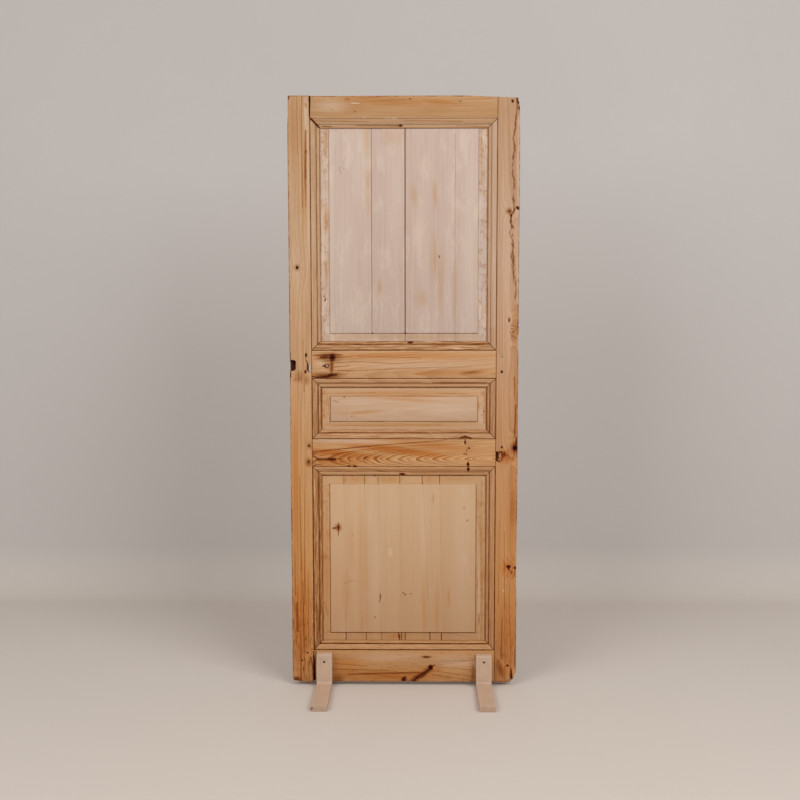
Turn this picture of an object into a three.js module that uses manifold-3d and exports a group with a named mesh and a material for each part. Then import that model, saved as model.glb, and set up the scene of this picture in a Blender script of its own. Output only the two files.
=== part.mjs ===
// A weathered pine door of stiles, rails and three raised panels, standing on four screwed feet.
// Millimetres, +Z up. The origin lies on the floor, midway between the door's two faces.
// The show face looks towards -Y, and the lock stile is at -X.

import * as THREE from 'three';
import { mergeVertices } from 'three/addons/utils/BufferGeometryUtils.js';
import Module from 'manifold-3d';

// The door leaf
const doorWidth = 800;
const doorHeight = 2064;
const doorThickness = 35;
const floorGap = 14;

// Widths of the members' plain faces, outside their mouldings
const stileFace = 77;
const topRailFace = 76.2;
const lockRailFace = 97;
const middleRailFace = 97;
const bottomRailFace = 116;

// Heights of the lower two openings, measured between plain faces
const middleOpening = 215;
const bottomOpening = 664.5;

// The moulding stuck on each member's inner edge: quirk, ovolo, step and bead
const mouldingWidth = 32.5;
const quirkWidth = 2;
const quirkDepth = 3;
const ovoloWidth = 18;
const ovoloTop = 0.8;
const ovoloDrop = 6.2;
const stepDrop = 2.2;
const beadRise = 2.4;

// The groove for the panels, and the tenon that continues it
const grooveFront = 12.5;
const grooveWidth = 10;
const grooveDepth = 12;
const tenonLength = 90;
const tenonShoulder = 24;
const endShoulder = 30;

// Clearances
const jointGap = 0.3;
const panelSideGap = 2;
const panelTopGap = 4;

// The raised panels: a field, a step down and a margin that falls away to the groove
const fieldDepth = 8.3;
const fieldStep = 3.2;
const stepSlope = 1;
const sideMargin = 32.5;
const lowMargin = 30;
const highMargin = 33.6;
const topPanelLowMargin = 27.7;
const topPanelHighMargin = 1.6;
const bottomFieldShift = -3.9;

// Board widths from left to right; each set is stretched to fill its panel
const topBoards = [189, 116, 116, 59, 121];
const bottomBoardsHigh = [87, 73, 48, 77, 80, 61, 175];
const bottomBoardsLow = [91, 74, 55, 71, 102, 42, 166];

// The tongue and groove between two boards, and how far each joint stands open
const boardTongue = 6;
const boardTongueThickness = 4;
const boardGap = 0.5;
const thinBoardGap = 1;
const openBoardGap = 3;

// Draw pegs: diameter, and distance in from the shoulder line
const pegDiameter = 7;
const pegInset = 20.5;
const innerPegInset = 23;
const outerPegInset = 43;
const pegSink = 0.4;

// The feet: an L whose sole is thinnest at its rounded inner corner, screwed to the bottom rail
const footWidth = 54;
const footInset = 6;
const footHeight = 122;
const shortFootHeight = 117;
const footLegThickness = 30;
const footSoleThickness = 17;
const footToeThickness = 21;
const footReach = 266;
const footFillet = 9;
const footNose = 2;
const footTopRadius = 4;

// The screws through the feet
const screwHeight = 94.5;
const screwHeadDiameter = 7.6;
const screwHeadHeight = 3.6;
const screwShankDiameter = 4;
const screwBite = 13;
const screwSink = 1.2;

// Lock side: keyhole, spindle hole and the notch in the stile's edge
const keyholeWidth = 8;
const keyholeHeight = 29;
const keyholeInset = 9;
const keyholeDrop = 14;
const spindleDiameter = 9;
const spindleInset = 52;
const lockDrop = 6;
const lockNotchWidth = 23;
const lockNotchHeight = 35;
const lockNotchDepth = 13;

// Wear: joints that have opened, the planed top and the losses at edges and corners
const topShoulderOpening = 4;
const topMitreOpening = 1.5;
const footShoulderOpening = 7;
const footShoulderRest = 0.6;
const topRailDrop = 1.3;
const topSlopeLength = 235;
const topSlopeDrop = 9.4;
const arrisRadius = 1.8;
const topLeftWearWidth = 3;
const topLeftWearLength = 112;
const chipWidth = 8;
const chipHeight = 24;
const chipWearWidth = 2;
const chipWearLength = 150;
const bottomLeftWearWidth = 34;
const bottomLeftWearHeight = 22;
const brokenCornerWidth = 25;
const brokenCornerHeight = 32;
const cornerSplitInset = 17;
const cornerSplitWidth = 3;
const cornerSplitHeight = 50;
const cornerSplitDepth = 20;
const lowerWearWidth = 1.8;
const lowerWearLow = 290;
const lowerWearHigh = 620;
const splinterLow = 1180;
const splinterHigh = 1252;
const splinterWidth = 2.6;
const lockEdgeWearWidth = 1.6;
const lockEdgeWearBelow = 22;
const lockEdgeWearAbove = 34;

// Knot holes in the hinge stile
const edgeKnotDiameter = 15;
const edgeKnotInset = 9.5;
const edgeKnotHeight = 846;
const edgeKnotDepth = 7;
const biteDiameter = 9;
const biteHeight = 1278;
const biteWidth = 3;
const biteDepth = 15;
const ringKnotInset = 17.5;
const ringKnotDrop = 11;
const ringKnotRadius = 12;
const ringKnotGap = 4;
const ringKnotDepth = 8;
const lowKnotInset = 28.5;
const lowKnotHeight = 420;
const lowKnotSize = 11;
const lowKnotDepth = 9;

// Nail holes in the stiles: diameter, depth and places in from the edges
const nailDiameter = 5;
const nailDepth = 12;
const highNailInset = 26;
const highNailDrop = 21;
const leftNailInset = 29;
const leftNailHeight = 1477;

// Colours
const frameColour = '#c8945c';
const topPanelColour = '#dcc0a4';
const panelColour = '#d6ae7f';
const pegColour = '#8a5a33';
const footColour = '#d3bda2';
const screwColour = '#2a2623';

const halfWidth = doorWidth / 2;
const halfThickness = doorThickness / 2;
const shoulderX = halfWidth - stileFace;
const innerX = shoulderX - mouldingWidth;
const grooveBack = grooveFront + grooveWidth;
const cutMargin = 1;

const wasm = await Module();
wasm.setup();

// Conversions between meshes and solids

function toSolid(geometry) {
  geometry.deleteAttribute('normal');
  geometry.deleteAttribute('uv');
  const merged = mergeVertices(geometry, 1e-5);
  return new wasm.Manifold(new wasm.Mesh({
    numProp: 3,
    vertProperties: merged.attributes.position.array,
    triVerts: new Uint32Array(merged.index.array),
  }));
}

function toGeometry(solid) {
  const mesh = solid.getMesh();
  const geometry = new THREE.BufferGeometry();
  geometry.setAttribute('position', new THREE.BufferAttribute(mesh.vertProperties, 3));
  geometry.setIndex(new THREE.BufferAttribute(mesh.triVerts, 1));
  const flat = geometry.toNonIndexed();
  flat.computeVertexNormals();
  return flat;
}

// Prisms: an outline pushed along one axis between two places

function extrude(outline, length, axes, start) {
  const shape = new THREE.Shape(outline.map(([u, v]) => new THREE.Vector2(u, v)));
  const geometry = new THREE.ExtrudeGeometry(shape, { depth: length, bevelEnabled: false });
  geometry.applyMatrix4(new THREE.Matrix4().makeBasis(...axes));
  geometry.translate(start.x, start.y, start.z);
  return toSolid(geometry);
}

const unitX = new THREE.Vector3(1, 0, 0);
const unitY = new THREE.Vector3(0, 1, 0);
const unitZ = new THREE.Vector3(0, 0, 1);

// An outline of [y, z] points, along X
function prismX(outline, low, high) {
  return extrude(outline, high - low, [unitY, unitZ, unitX], new THREE.Vector3(low, 0, 0));
}

// An outline of [x, z] points, from one depth behind the show face to another
function prismY(outline, shallow, deep) {
  const back = new THREE.Vector3(0, deep - halfThickness, 0);
  return extrude(outline, deep - shallow, [unitX, unitZ, unitY.clone().negate()], back);
}

// An outline of [x, y] points, along Z
function prismZ(outline, low, high) {
  return extrude(outline, high - low, [unitX, unitY, unitZ], new THREE.Vector3(0, 0, low));
}

function rectangle(left, right, low, high) {
  return [[left, low], [right, low], [right, high], [left, high]];
}

function arc(centreU, centreV, radius, from, to, steps) {
  return Array.from({ length: steps + 1 }, (_, i) => {
    const angle = THREE.MathUtils.degToRad(from + ((to - from) * i) / steps);
    return [centreU + radius * Math.cos(angle), centreV + radius * Math.sin(angle)];
  });
}

const mirrorX = (outline) => outline.map(([x, z]) => [-x, z]);
const swap = (outline) => outline.map(([u, v]) => [v, u]);
const onDepth = (outline) => outline.map(([u, depth]) => [u, depth - halfThickness]);

// The rails, from the floor up. low and high limit the plain face

const footZ = floorGap;
const headZ = floorGap + doorHeight;

function makeRail(name, low, face, mouldedLow, mouldedHigh) {
  const high = low + face;
  const memberLow = mouldedLow ? low - mouldingWidth : low;
  const memberHigh = mouldedHigh ? high + mouldingWidth : high;
  return { name, low, high, mouldedLow, mouldedHigh, memberLow, memberHigh, middle: (low + high) / 2 };
}

const bottomRail = makeRail('rail_bottom', footZ, bottomRailFace, false, true);
const middleRail = makeRail('rail_middle', bottomRail.high + bottomOpening, middleRailFace, true, true);
const lockRail = makeRail('rail_lock', middleRail.high + middleOpening, lockRailFace, true, true);
const topRail = makeRail('rail_top', headZ - topRailDrop - topRailFace, topRailFace, true, false);
const rails = [bottomRail, middleRail, lockRail, topRail];

// Sections of the frame members

// The moulding from the plain face's edge inwards, as [distance, depth]
function mouldingLine() {
  const steps = 6;
  const beadStart = quirkWidth + ovoloWidth;
  const beadDepth = ovoloTop + ovoloDrop + stepDrop;
  const beadHalf = (mouldingWidth - beadStart) / 2;
  const ovolo = [];
  const bead = [];
  for (let i = 0; i <= steps; i += 1) {
    const quarter = (Math.PI / 2) * (i / steps);
    ovolo.push([
      quirkWidth + ovoloWidth * Math.sin(quarter),
      ovoloTop + ovoloDrop * (1 - Math.cos(quarter)),
    ]);
    bead.push([
      beadStart + beadHalf * (1 - Math.cos(2 * quarter)),
      beadDepth - beadRise * Math.sin(2 * quarter),
    ]);
  }
  return [[0, 0], [0, quirkDepth], [quirkWidth, quirkDepth], ...ovolo, ...bead];
}

// One side of a member's section, from the show face round to the back, as [distance out, depth]
function sideLine(moulded) {
  if (!moulded) {
    return [
      ...arc(-arrisRadius, arrisRadius, arrisRadius, -90, 0, 3),
      ...arc(-arrisRadius, doorThickness - arrisRadius, arrisRadius, 0, 90, 3),
    ];
  }
  return [
    ...mouldingLine(),
    [mouldingWidth, grooveFront],
    [mouldingWidth - grooveDepth, grooveFront],
    [mouldingWidth - grooveDepth, grooveBack],
    [mouldingWidth, grooveBack],
    [mouldingWidth, doorThickness],
  ];
}

// The whole section of a member whose plain face runs from low to high, as [place, depth]
function memberSection(low, high, mouldedLow, mouldedHigh) {
  const highSide = sideLine(mouldedHigh).map(([out, depth]) => [high + out, depth]);
  const lowSide = sideLine(mouldedLow).map(([out, depth]) => [low - out, depth]);
  return onDepth([...highSide, ...lowSide.reverse()]);
}

// A rail's front outline: its plain face, and its mouldings running out to the mitres
function railFront(rail, shoulder) {
  const tip = shoulder - mouldingWidth;
  const right = [];
  if (rail.mouldedLow) right.push([tip, rail.memberLow]);
  right.push([shoulder, rail.low], [shoulder, rail.high]);
  if (rail.mouldedHigh) right.push([tip, rail.memberHigh]);
  return [...right, ...mirrorX(right).reverse()];
}

function tenonLimits(rail) {
  return {
    low: rail.memberLow + (rail.mouldedLow ? tenonShoulder : endShoulder),
    high: rail.memberHigh - (rail.mouldedHigh ? tenonShoulder : endShoulder),
  };
}

// The tenons and the short haunches that fill the stiles' grooves, grown by a clearance
function tenons(rail, growth) {
  const reach = innerX + tenonLength + growth;
  const { low, high } = tenonLimits(rail);
  const plan = rectangle(-reach, reach, low - growth, high + growth);
  return prismY(plan, grooveFront - growth, grooveBack + growth);
}

function haunches(rail) {
  const reach = innerX + grooveDepth - jointGap;
  const low = rail.memberLow + (rail.mouldedLow ? grooveDepth : 0);
  const high = rail.memberHigh - (rail.mouldedHigh ? grooveDepth : 0);
  return prismY(rectangle(-reach, reach, low, high), grooveFront + jointGap, grooveBack - jointGap);
}

// Draw pegs: which side, the distance in from the shoulder line, and the height on the rail

const pegPlan = [
  { name: 'peg_lock_left_upper', rail: lockRail, side: -1, inset: pegInset, rise: 32 },
  { name: 'peg_lock_left_lower', rail: lockRail, side: -1, inset: pegInset + 1, rise: -29 },
  { name: 'peg_lock_right_upper', rail: lockRail, side: 1, inset: pegInset, rise: 26 },
  { name: 'peg_lock_right_lower', rail: lockRail, side: 1, inset: pegInset - 2, rise: -26 },
  { name: 'peg_middle_left_upper', rail: middleRail, side: -1, inset: pegInset - 7, rise: 25 },
  { name: 'peg_middle_left_lower', rail: middleRail, side: -1, inset: pegInset - 6, rise: -33 },
  { name: 'peg_middle_right_upper', rail: middleRail, side: 1, inset: pegInset + 1, rise: 20 },
  { name: 'peg_bottom_left_inner', rail: bottomRail, side: -1, inset: innerPegInset, rise: 47 },
  { name: 'peg_bottom_left_outer', rail: bottomRail, side: -1, inset: outerPegInset, rise: 19 },
  { name: 'peg_bottom_right_inner', rail: bottomRail, side: 1, inset: innerPegInset + 2, rise: 29 },
  { name: 'peg_bottom_right_outer', rail: bottomRail, side: 1, inset: outerPegInset + 4, rise: 1 },
];

// A round bar along Y between two depths
function roundBar(x, z, diameter, shallow, deep, sides) {
  const geometry = new THREE.CylinderGeometry(diameter / 2, diameter / 2, deep - shallow, sides);
  geometry.translate(x, (shallow + deep) / 2 - halfThickness, z);
  return toSolid(geometry);
}

const pegX = (peg) => peg.side * (shoulderX + peg.inset);
const pegZ = (peg) => peg.rail.middle + peg.rise;

function pegSolid(peg) {
  return roundBar(pegX(peg), pegZ(peg), pegDiameter, pegSink, doorThickness - pegSink, 16);
}

function boreForPegs(solid, chosen) {
  const diameter = pegDiameter + 2 * jointGap;
  return chosen.reduce((left, peg) => left.subtract(
    roundBar(pegX(peg), pegZ(peg), diameter, -cutMargin, doorThickness + cutMargin, 16),
  ), solid);
}

// Cuts shared by the lock rail and the lock stile

function keyhole() {
  const half = keyholeWidth / 2;
  const x = -(shoulderX + keyholeInset);
  const z = lockRail.middle - keyholeDrop;
  const straight = keyholeHeight / 2 - half;
  const outline = [
    ...arc(x, z + straight, half, 0, 180, 6),
    ...arc(x, z - straight, half, 180, 360, 6),
  ];
  return prismY(outline, -cutMargin, doorThickness + cutMargin);
}

function spindleHole() {
  const x = -(shoulderX - spindleInset);
  const z = lockRail.middle - lockDrop;
  return roundBar(x, z, spindleDiameter, -cutMargin, doorThickness + cutMargin, 16);
}

// The head of the door planed down towards the hinge side
function topSlope() {
  const outline = [
    [halfWidth - topSlopeLength, headZ],
    [halfWidth, headZ - topSlopeDrop],
    [halfWidth + cutMargin, headZ - topSlopeDrop],
    [halfWidth + cutMargin, headZ + cutMargin],
    [halfWidth - topSlopeLength, headZ + cutMargin],
  ];
  return prismY(outline, -cutMargin, doorThickness + cutMargin);
}

// The screws through the feet, as a turned outline of [radius, distance behind the foot's face]
function screwSolid(growth) {
  const head = screwHeadDiameter / 2 + growth;
  const shank = screwShankDiameter / 2 + growth;
  const tip = footLegThickness + screwBite + growth;
  const seat = screwSink + screwHeadHeight;
  const top = growth > 0 ? -cutMargin : screwSink;
  const outline = [
    [0, top],
    [head, top],
    [head, screwSink + growth],
    [shank, seat + growth],
    [shank, tip - shank],
    [0, tip],
  ].map(([radius, along]) => new THREE.Vector2(radius, along));
  return toSolid(new THREE.LatheGeometry(outline, 20));
}

// Places something made in the middle of the show side at any of the four feet
function atFoot(solid, foot) {
  const turned = foot.front ? solid : solid.rotate([0, 0, 180]);
  return turned.translate([foot.side * (innerX - footInset), 0, 0]);
}

const feet = [
  { place: 'front_left', side: -1, front: true, height: footHeight },
  { place: 'front_right', side: 1, front: true, height: shortFootHeight },
  { place: 'back_left', side: -1, front: false, height: footHeight },
  { place: 'back_right', side: 1, front: false, height: footHeight },
];

function placedScrew(foot, growth) {
  const start = -(halfThickness + footLegThickness);
  return atFoot(screwSolid(growth).translate([0, start, screwHeight]), foot);
}

function footSolid(foot) {
  const front = -halfThickness - footLegThickness;
  const toe = -halfThickness - footReach;
  const outline = [
    [-halfThickness, 0],
    [-halfThickness, foot.height],
    ...arc(front + footTopRadius, foot.height - footTopRadius, footTopRadius, 90, 180, 4),
    ...arc(front - footFillet, footSoleThickness + footFillet, footFillet, 0, -90, 8),
    ...arc(toe + footNose, footToeThickness - footNose, footNose, 90, 180, 4),
    [toe, 0],
  ];
  const body = prismX(outline, -footWidth / 2, footWidth / 2);
  return atFoot(body, foot).subtract(placedScrew(foot, jointGap));
}

// The frame members

function railSolid(rail) {
  const section = swap(memberSection(rail.low, rail.high, rail.mouldedLow, rail.mouldedHigh));
  const bar = prismX(section, -shoulderX, shoulderX);
  const front = prismY(railFront(rail, shoulderX), -cutMargin, grooveFront);
  const shoulder = innerX - jointGap;
  const backPlan = rectangle(-shoulder, shoulder, rail.memberLow - cutMargin, rail.memberHigh + cutMargin);
  const back = prismY(backPlan, grooveFront, doorThickness + cutMargin);
  const whole = bar.intersect(front.add(back)).add(tenons(rail, 0)).add(haunches(rail));
  return boreForPegs(whole, pegPlan.filter((peg) => peg.rail === rail));
}

function stileSolid(side) {
  const plain = side < 0 ? [-halfWidth, -shoulderX] : [shoulderX, halfWidth];
  const section = memberSection(plain[0], plain[1], side > 0, side < 0);
  let stile = prismZ(section, footZ, headZ);
  for (const rail of rails) {
    const grown = railFront(rail, shoulderX + jointGap);
    const open = rail.mouldedLow && rail.mouldedHigh ? grown : openEnd(rail, grown);
    stile = stile.subtract(prismY(open, -cutMargin, grooveFront + jointGap));
    stile = stile.subtract(tenons(rail, jointGap));
  }
  return boreForPegs(stile, pegPlan.filter((peg) => peg.side === side));
}

// A rail at the head or foot of the door leaves its notch open beyond the stile's end
function openEnd(rail, outline) {
  const end = rail.mouldedLow ? rail.high : rail.low;
  const beyond = rail.mouldedLow ? headZ + cutMargin : footZ - cutMargin;
  return outline.map(([x, z]) => [x, z === end ? beyond : z]);
}

// Losses along the edges, each beyond a worn line of [distance in from the edge, height] points

function lossBeyond(side, line) {
  const beyond = side * (halfWidth + cutMargin);
  const worn = line.map(([inset, z]) => [side * (halfWidth - inset), z]);
  const outline = [[beyond, line[0][1]], ...worn, [beyond, line[line.length - 1][1]]];
  return prismY(outline, -cutMargin, doorThickness + cutMargin);
}

function topLeftWear() {
  return lossBeyond(-1, [
    [0, headZ - topLeftWearLength],
    [topLeftWearWidth * 0.7, headZ - topLeftWearLength / 2],
    [topLeftWearWidth, headZ + cutMargin],
  ]);
}

function topRightChip() {
  const top = headZ - topSlopeDrop;
  return lossBeyond(1, [
    [0, top - chipWearLength],
    [chipWearWidth, top - chipHeight * 1.3],
    [chipWidth / 2, top - chipHeight],
    [chipWidth / 2, top - chipHeight * 0.6],
    [chipWidth * 0.9, top - chipHeight * 0.45],
    [chipWidth, headZ],
  ]);
}

function bottomLeftWear() {
  return lossBeyond(-1, [
    [0, footZ + bottomLeftWearHeight],
    [bottomLeftWearWidth * 0.06, footZ + bottomLeftWearHeight * 0.36],
    [bottomLeftWearWidth * 0.18, footZ + bottomLeftWearHeight * 0.14],
    [bottomLeftWearWidth * 0.9, footZ + bottomLeftWearHeight * 0.04],
    [bottomLeftWearWidth, footZ - cutMargin],
  ]);
}

function brokenCorner() {
  return lossBeyond(1, [
    [0, footZ + brokenCornerHeight * 1.12],
    [brokenCornerWidth * 0.08, footZ + brokenCornerHeight],
    [brokenCornerWidth * 0.33, footZ + brokenCornerHeight * 0.45],
    [brokenCornerWidth * 0.7, footZ + brokenCornerHeight * 0.15],
    [brokenCornerWidth, footZ - cutMargin],
  ]);
}

// A shallow hollow along an edge, steeper at its lower end
function edgeHollow(side, low, high, width) {
  const run = high - low;
  return lossBeyond(side, [
    [0, low],
    [width, low + run * 0.25],
    [width, low + run * 0.65],
    [width / 2, low + run * 0.85],
    [0, high],
  ]);
}

function lockEdgeWear() {
  const middle = lockRail.middle - lockDrop;
  const low = middle - lockNotchHeight / 2 - lockEdgeWearBelow;
  const high = middle + lockNotchHeight / 2 + lockEdgeWearAbove;
  return edgeHollow(-1, low, high, lockEdgeWearWidth);
}

function cornerSplit() {
  const x = halfWidth - cornerSplitInset;
  const outline = [
    [x - cornerSplitWidth / 2, footZ - cutMargin],
    [x + cornerSplitWidth / 2, footZ - cutMargin],
    [x + cornerSplitWidth / 2, footZ + cornerSplitHeight / 2],
    [x, footZ + cornerSplitHeight],
  ];
  return prismY(outline, -cutMargin, cornerSplitDepth);
}

function lockNotch() {
  const z = lockRail.middle - lockDrop;
  const half = lockNotchHeight / 2;
  const inner = -halfWidth + lockNotchWidth;
  const ragged = lockNotchHeight / 8;
  const outline = [
    [-halfWidth - cutMargin, z - half + ragged / 2],
    [inner - ragged, z - half],
    [inner, z - half + ragged],
    [inner, z + half - ragged / 4],
    [inner - 2 * ragged, z + half],
    [-halfWidth - cutMargin, z + half - ragged / 2],
  ];
  return prismY(outline, -cutMargin, lockNotchDepth);
}

// Knot holes and nail holes

// The hollow of a black knot close to the hinge edge
function edgeKnot() {
  const x = halfWidth - edgeKnotInset;
  return roundBar(x, footZ + edgeKnotHeight, edgeKnotDiameter, -cutMargin, edgeKnotDepth, 20);
}

function edgeBite() {
  const x = halfWidth + biteDiameter / 2 - biteWidth;
  return roundBar(x, footZ + biteHeight, biteDiameter, -cutMargin, biteDepth, 20);
}

// The gap round one side of a ring-shaped knot beside the middle rail
function ringKnot() {
  const x = shoulderX + ringKnotInset;
  const z = middleRail.middle - ringKnotDrop;
  const inner = ringKnotRadius - ringKnotGap / 4;
  const outline = [
    ...arc(x, z, ringKnotRadius, 115, 245, 8),
    ...arc(x + ringKnotGap, z, inner, 240, 120, 8),
  ];
  return prismY(outline, -cutMargin, ringKnotDepth);
}

function lowKnot() {
  const x = halfWidth - lowKnotInset;
  const z = footZ + lowKnotHeight;
  const outline = [
    [x - lowKnotSize * 0.35, z - lowKnotSize * 0.4],
    [x + lowKnotSize * 0.4, z - lowKnotSize * 0.15],
    [x - lowKnotSize * 0.2, z + lowKnotSize * 0.6],
  ];
  return prismY(outline, -cutMargin, lowKnotDepth);
}

const nailHole = (x, z) => roundBar(x, z, nailDiameter, -cutMargin, nailDepth, 12);

// Old screw holes near the hinge end of the middle rail: distance from the shoulder, and height
const oldScrewHoles = [
  [108, 37],
  [94, 16],
  [97, -43],
  [95, -60],
];

function wornMiddleRail() {
  return oldScrewHoles.reduce(
    (left, [inset, rise]) => left.subtract(nailHole(shoulderX - inset, middleRail.middle + rise)),
    railSolid(middleRail),
  );
}

function wornLockStile() {
  return stileSolid(-1)
    .subtract(topLeftWear())
    .subtract(bottomLeftWear())
    .subtract(lockEdgeWear())
    .subtract(lockNotch())
    .subtract(keyhole())
    .subtract(nailHole(-halfWidth + leftNailInset, footZ + leftNailHeight));
}

function wornHingeStile() {
  return stileSolid(1)
    .subtract(topSlope())
    .subtract(topRightChip())
    .subtract(brokenCorner())
    .subtract(cornerSplit())
    .subtract(edgeHollow(1, footZ + splinterLow, footZ + splinterHigh, splinterWidth))
    .subtract(edgeHollow(1, footZ + lowerWearLow, footZ + lowerWearHigh, lowerWearWidth))
    .subtract(edgeKnot())
    .subtract(edgeBite())
    .subtract(ringKnot())
    .subtract(lowKnot())
    .subtract(nailHole(halfWidth - highNailInset, headZ - highNailDrop));
}

// The top rail has drawn away from the lock stile, at the shoulder and along the mitre
function wornTopRail() {
  const outer = -shoulderX - cutMargin;
  const { low, high, memberLow } = topRail;
  const opening = [
    [outer, high + cutMargin],
    [-shoulderX + topShoulderOpening, high + cutMargin],
    [-shoulderX + topMitreOpening, low],
    [-innerX + topMitreOpening + cutMargin, memberLow - cutMargin],
    [-innerX - cutMargin, memberLow - cutMargin],
    [outer, low],
  ];
  return railSolid(topRail).subtract(topSlope()).subtract(prismY(opening, -cutMargin, grooveFront));
}

// The bottom rail's shoulder gapes towards the foot of the door
function wornBottomRail() {
  const outer = -shoulderX - cutMargin;
  const { low, high } = bottomRail;
  const opening = [
    [outer, low - cutMargin],
    [-shoulderX + footShoulderOpening, low - cutMargin],
    [-shoulderX + footShoulderRest, high],
    [outer, high],
  ];
  const rail = railSolid(bottomRail).subtract(prismY(opening, -cutMargin, grooveFront));
  return feet.reduce((left, foot) => left.subtract(placedScrew(foot, jointGap)), rail);
}

// The panels

// A panel's line from its lower or left groove to the other one, as [place, depth]
function panelLine(innerLow, innerHigh, fieldLow, fieldHigh, tongueLow, tongueHigh) {
  const tongueFront = grooveFront + jointGap;
  const back = grooveBack - jointGap;
  const marginDepth = fieldDepth + fieldStep;
  return onDepth([
    [tongueLow, tongueFront],
    [innerLow, tongueFront],
    [fieldLow, marginDepth],
    [fieldLow + stepSlope, fieldDepth],
    [fieldHigh - stepSlope, fieldDepth],
    [fieldHigh, marginDepth],
    [innerHigh, tongueFront],
    [tongueHigh, tongueFront],
    [tongueHigh, back],
    [tongueLow, back],
  ]);
}

function panelSolid(below, above, marginLow, marginHigh, shift) {
  const innerLow = below.memberHigh;
  const innerHigh = above.memberLow;
  const tongueLow = innerLow - grooveDepth + jointGap;
  const tongueHigh = innerHigh + grooveDepth - panelTopGap;
  const reach = innerX + grooveDepth - panelSideGap;
  const field = innerX - sideMargin;
  const upright = panelLine(
    innerLow, innerHigh, innerLow + marginLow, innerHigh - marginHigh, tongueLow, tongueHigh,
  );
  const across = panelLine(-innerX, innerX, shift - field, shift + field, -reach, reach);
  const solid = prismX(swap(upright), -reach, reach).intersect(prismZ(across, tongueLow, tongueHigh));
  return { solid, low: tongueLow, high: tongueHigh, reach };
}

// Places of the joints between boards of the given widths, stretched across the panel
function jointPlaces(widths, reach) {
  const total = widths.reduce((sum, width) => sum + width, 0);
  const places = [];
  let run = 0;
  for (const width of widths.slice(0, -1)) {
    run += width;
    places.push(-reach + (2 * reach * run) / total);
  }
  return places;
}

// Splits a panel into tongued and grooved boards whose joints run from foot to head
function splitPanel(panel, widthsLow, widthsHigh, gaps) {
  const low = [-panel.reach - cutMargin, ...jointPlaces(widthsLow, panel.reach), panel.reach + cutMargin];
  const high = [-panel.reach - cutMargin, ...jointPlaces(widthsHigh, panel.reach), panel.reach + cutMargin];
  const bottom = panel.low - cutMargin;
  const top = panel.high + cutMargin;
  const middle = (grooveFront + grooveBack) / 2;
  const half = boardTongueThickness / 2;
  const strip = (joint, from, to) => [
    [low[joint] + from, bottom],
    [low[joint] + to, bottom],
    [high[joint] + to, top],
    [high[joint] + from, top],
  ];
  return widthsLow.map((_, board) => {
    const last = board === widthsLow.length - 1;
    const leftGap = board > 0 ? gaps[board - 1] / 2 : 0;
    const rightGap = last ? 0 : gaps[board] / 2;
    const plan = [
      [low[board] + leftGap, bottom],
      [low[board + 1] - rightGap, bottom],
      [high[board + 1] - rightGap, top],
      [high[board] + leftGap, top],
    ];
    let solid = panel.solid.intersect(prismY(plan, -cutMargin, doorThickness + cutMargin));
    if (!last) {
      const tongue = strip(board + 1, -rightGap - cutMargin, boardTongue - rightGap);
      solid = solid.add(panel.solid.intersect(prismY(tongue, middle - half, middle + half)));
    }
    if (board > 0) {
      const slot = strip(board, -cutMargin, boardTongue + jointGap);
      solid = solid.subtract(prismY(slot, middle - half - jointGap, middle + half + jointGap));
    }
    return solid;
  });
}

const topPanel = panelSolid(lockRail, topRail, topPanelLowMargin, topPanelHighMargin, 0);
const middlePanel = panelSolid(middleRail, lockRail, lowMargin, highMargin, 0);
const bottomPanel = panelSolid(bottomRail, middleRail, lowMargin, highMargin, bottomFieldShift);

const topGaps = [thinBoardGap, openBoardGap, boardGap, boardGap];
const bottomGaps = bottomBoardsLow.slice(1).map(() => boardGap);

// The finished group

const door = new THREE.Group();

function addPiece(name, solid, colour, roughness, metalness = 0) {
  const material = new THREE.MeshStandardMaterial({ color: colour, roughness, metalness });
  const mesh = new THREE.Mesh(toGeometry(solid), material);
  mesh.name = name;
  door.add(mesh);
}

addPiece('stile_left', wornLockStile(), frameColour, 0.6);
addPiece('stile_right', wornHingeStile(), frameColour, 0.6);
addPiece('rail_top', wornTopRail(), frameColour, 0.6);
addPiece('rail_lock', railSolid(lockRail).subtract(keyhole()).subtract(spindleHole()), frameColour, 0.6);
addPiece('rail_middle', wornMiddleRail(), frameColour, 0.6);
addPiece('rail_bottom', wornBottomRail(), frameColour, 0.6);

splitPanel(topPanel, topBoards, topBoards, topGaps).forEach((board, i) => {
  addPiece(`panel_top_board_${i + 1}`, board, topPanelColour, 0.7);
});
addPiece('panel_middle_board', middlePanel.solid, panelColour, 0.7);
splitPanel(bottomPanel, bottomBoardsLow, bottomBoardsHigh, bottomGaps).forEach((board, i) => {
  addPiece(`panel_bottom_board_${i + 1}`, board, panelColour, 0.7);
});

for (const peg of pegPlan) {
  addPiece(peg.name, pegSolid(peg), pegColour, 0.8);
}

for (const foot of feet) {
  addPiece(`foot_${foot.place}`, footSolid(foot), footColour, 0.55);
  addPiece(`screw_${foot.place}`, placedScrew(foot, 0), screwColour, 0.45, 0.8);
}

export default door;
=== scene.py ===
"""Finishes of an old stripped pine door: its wood, dirt, wear, pegs, painted feet and screws."""

import math

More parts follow.
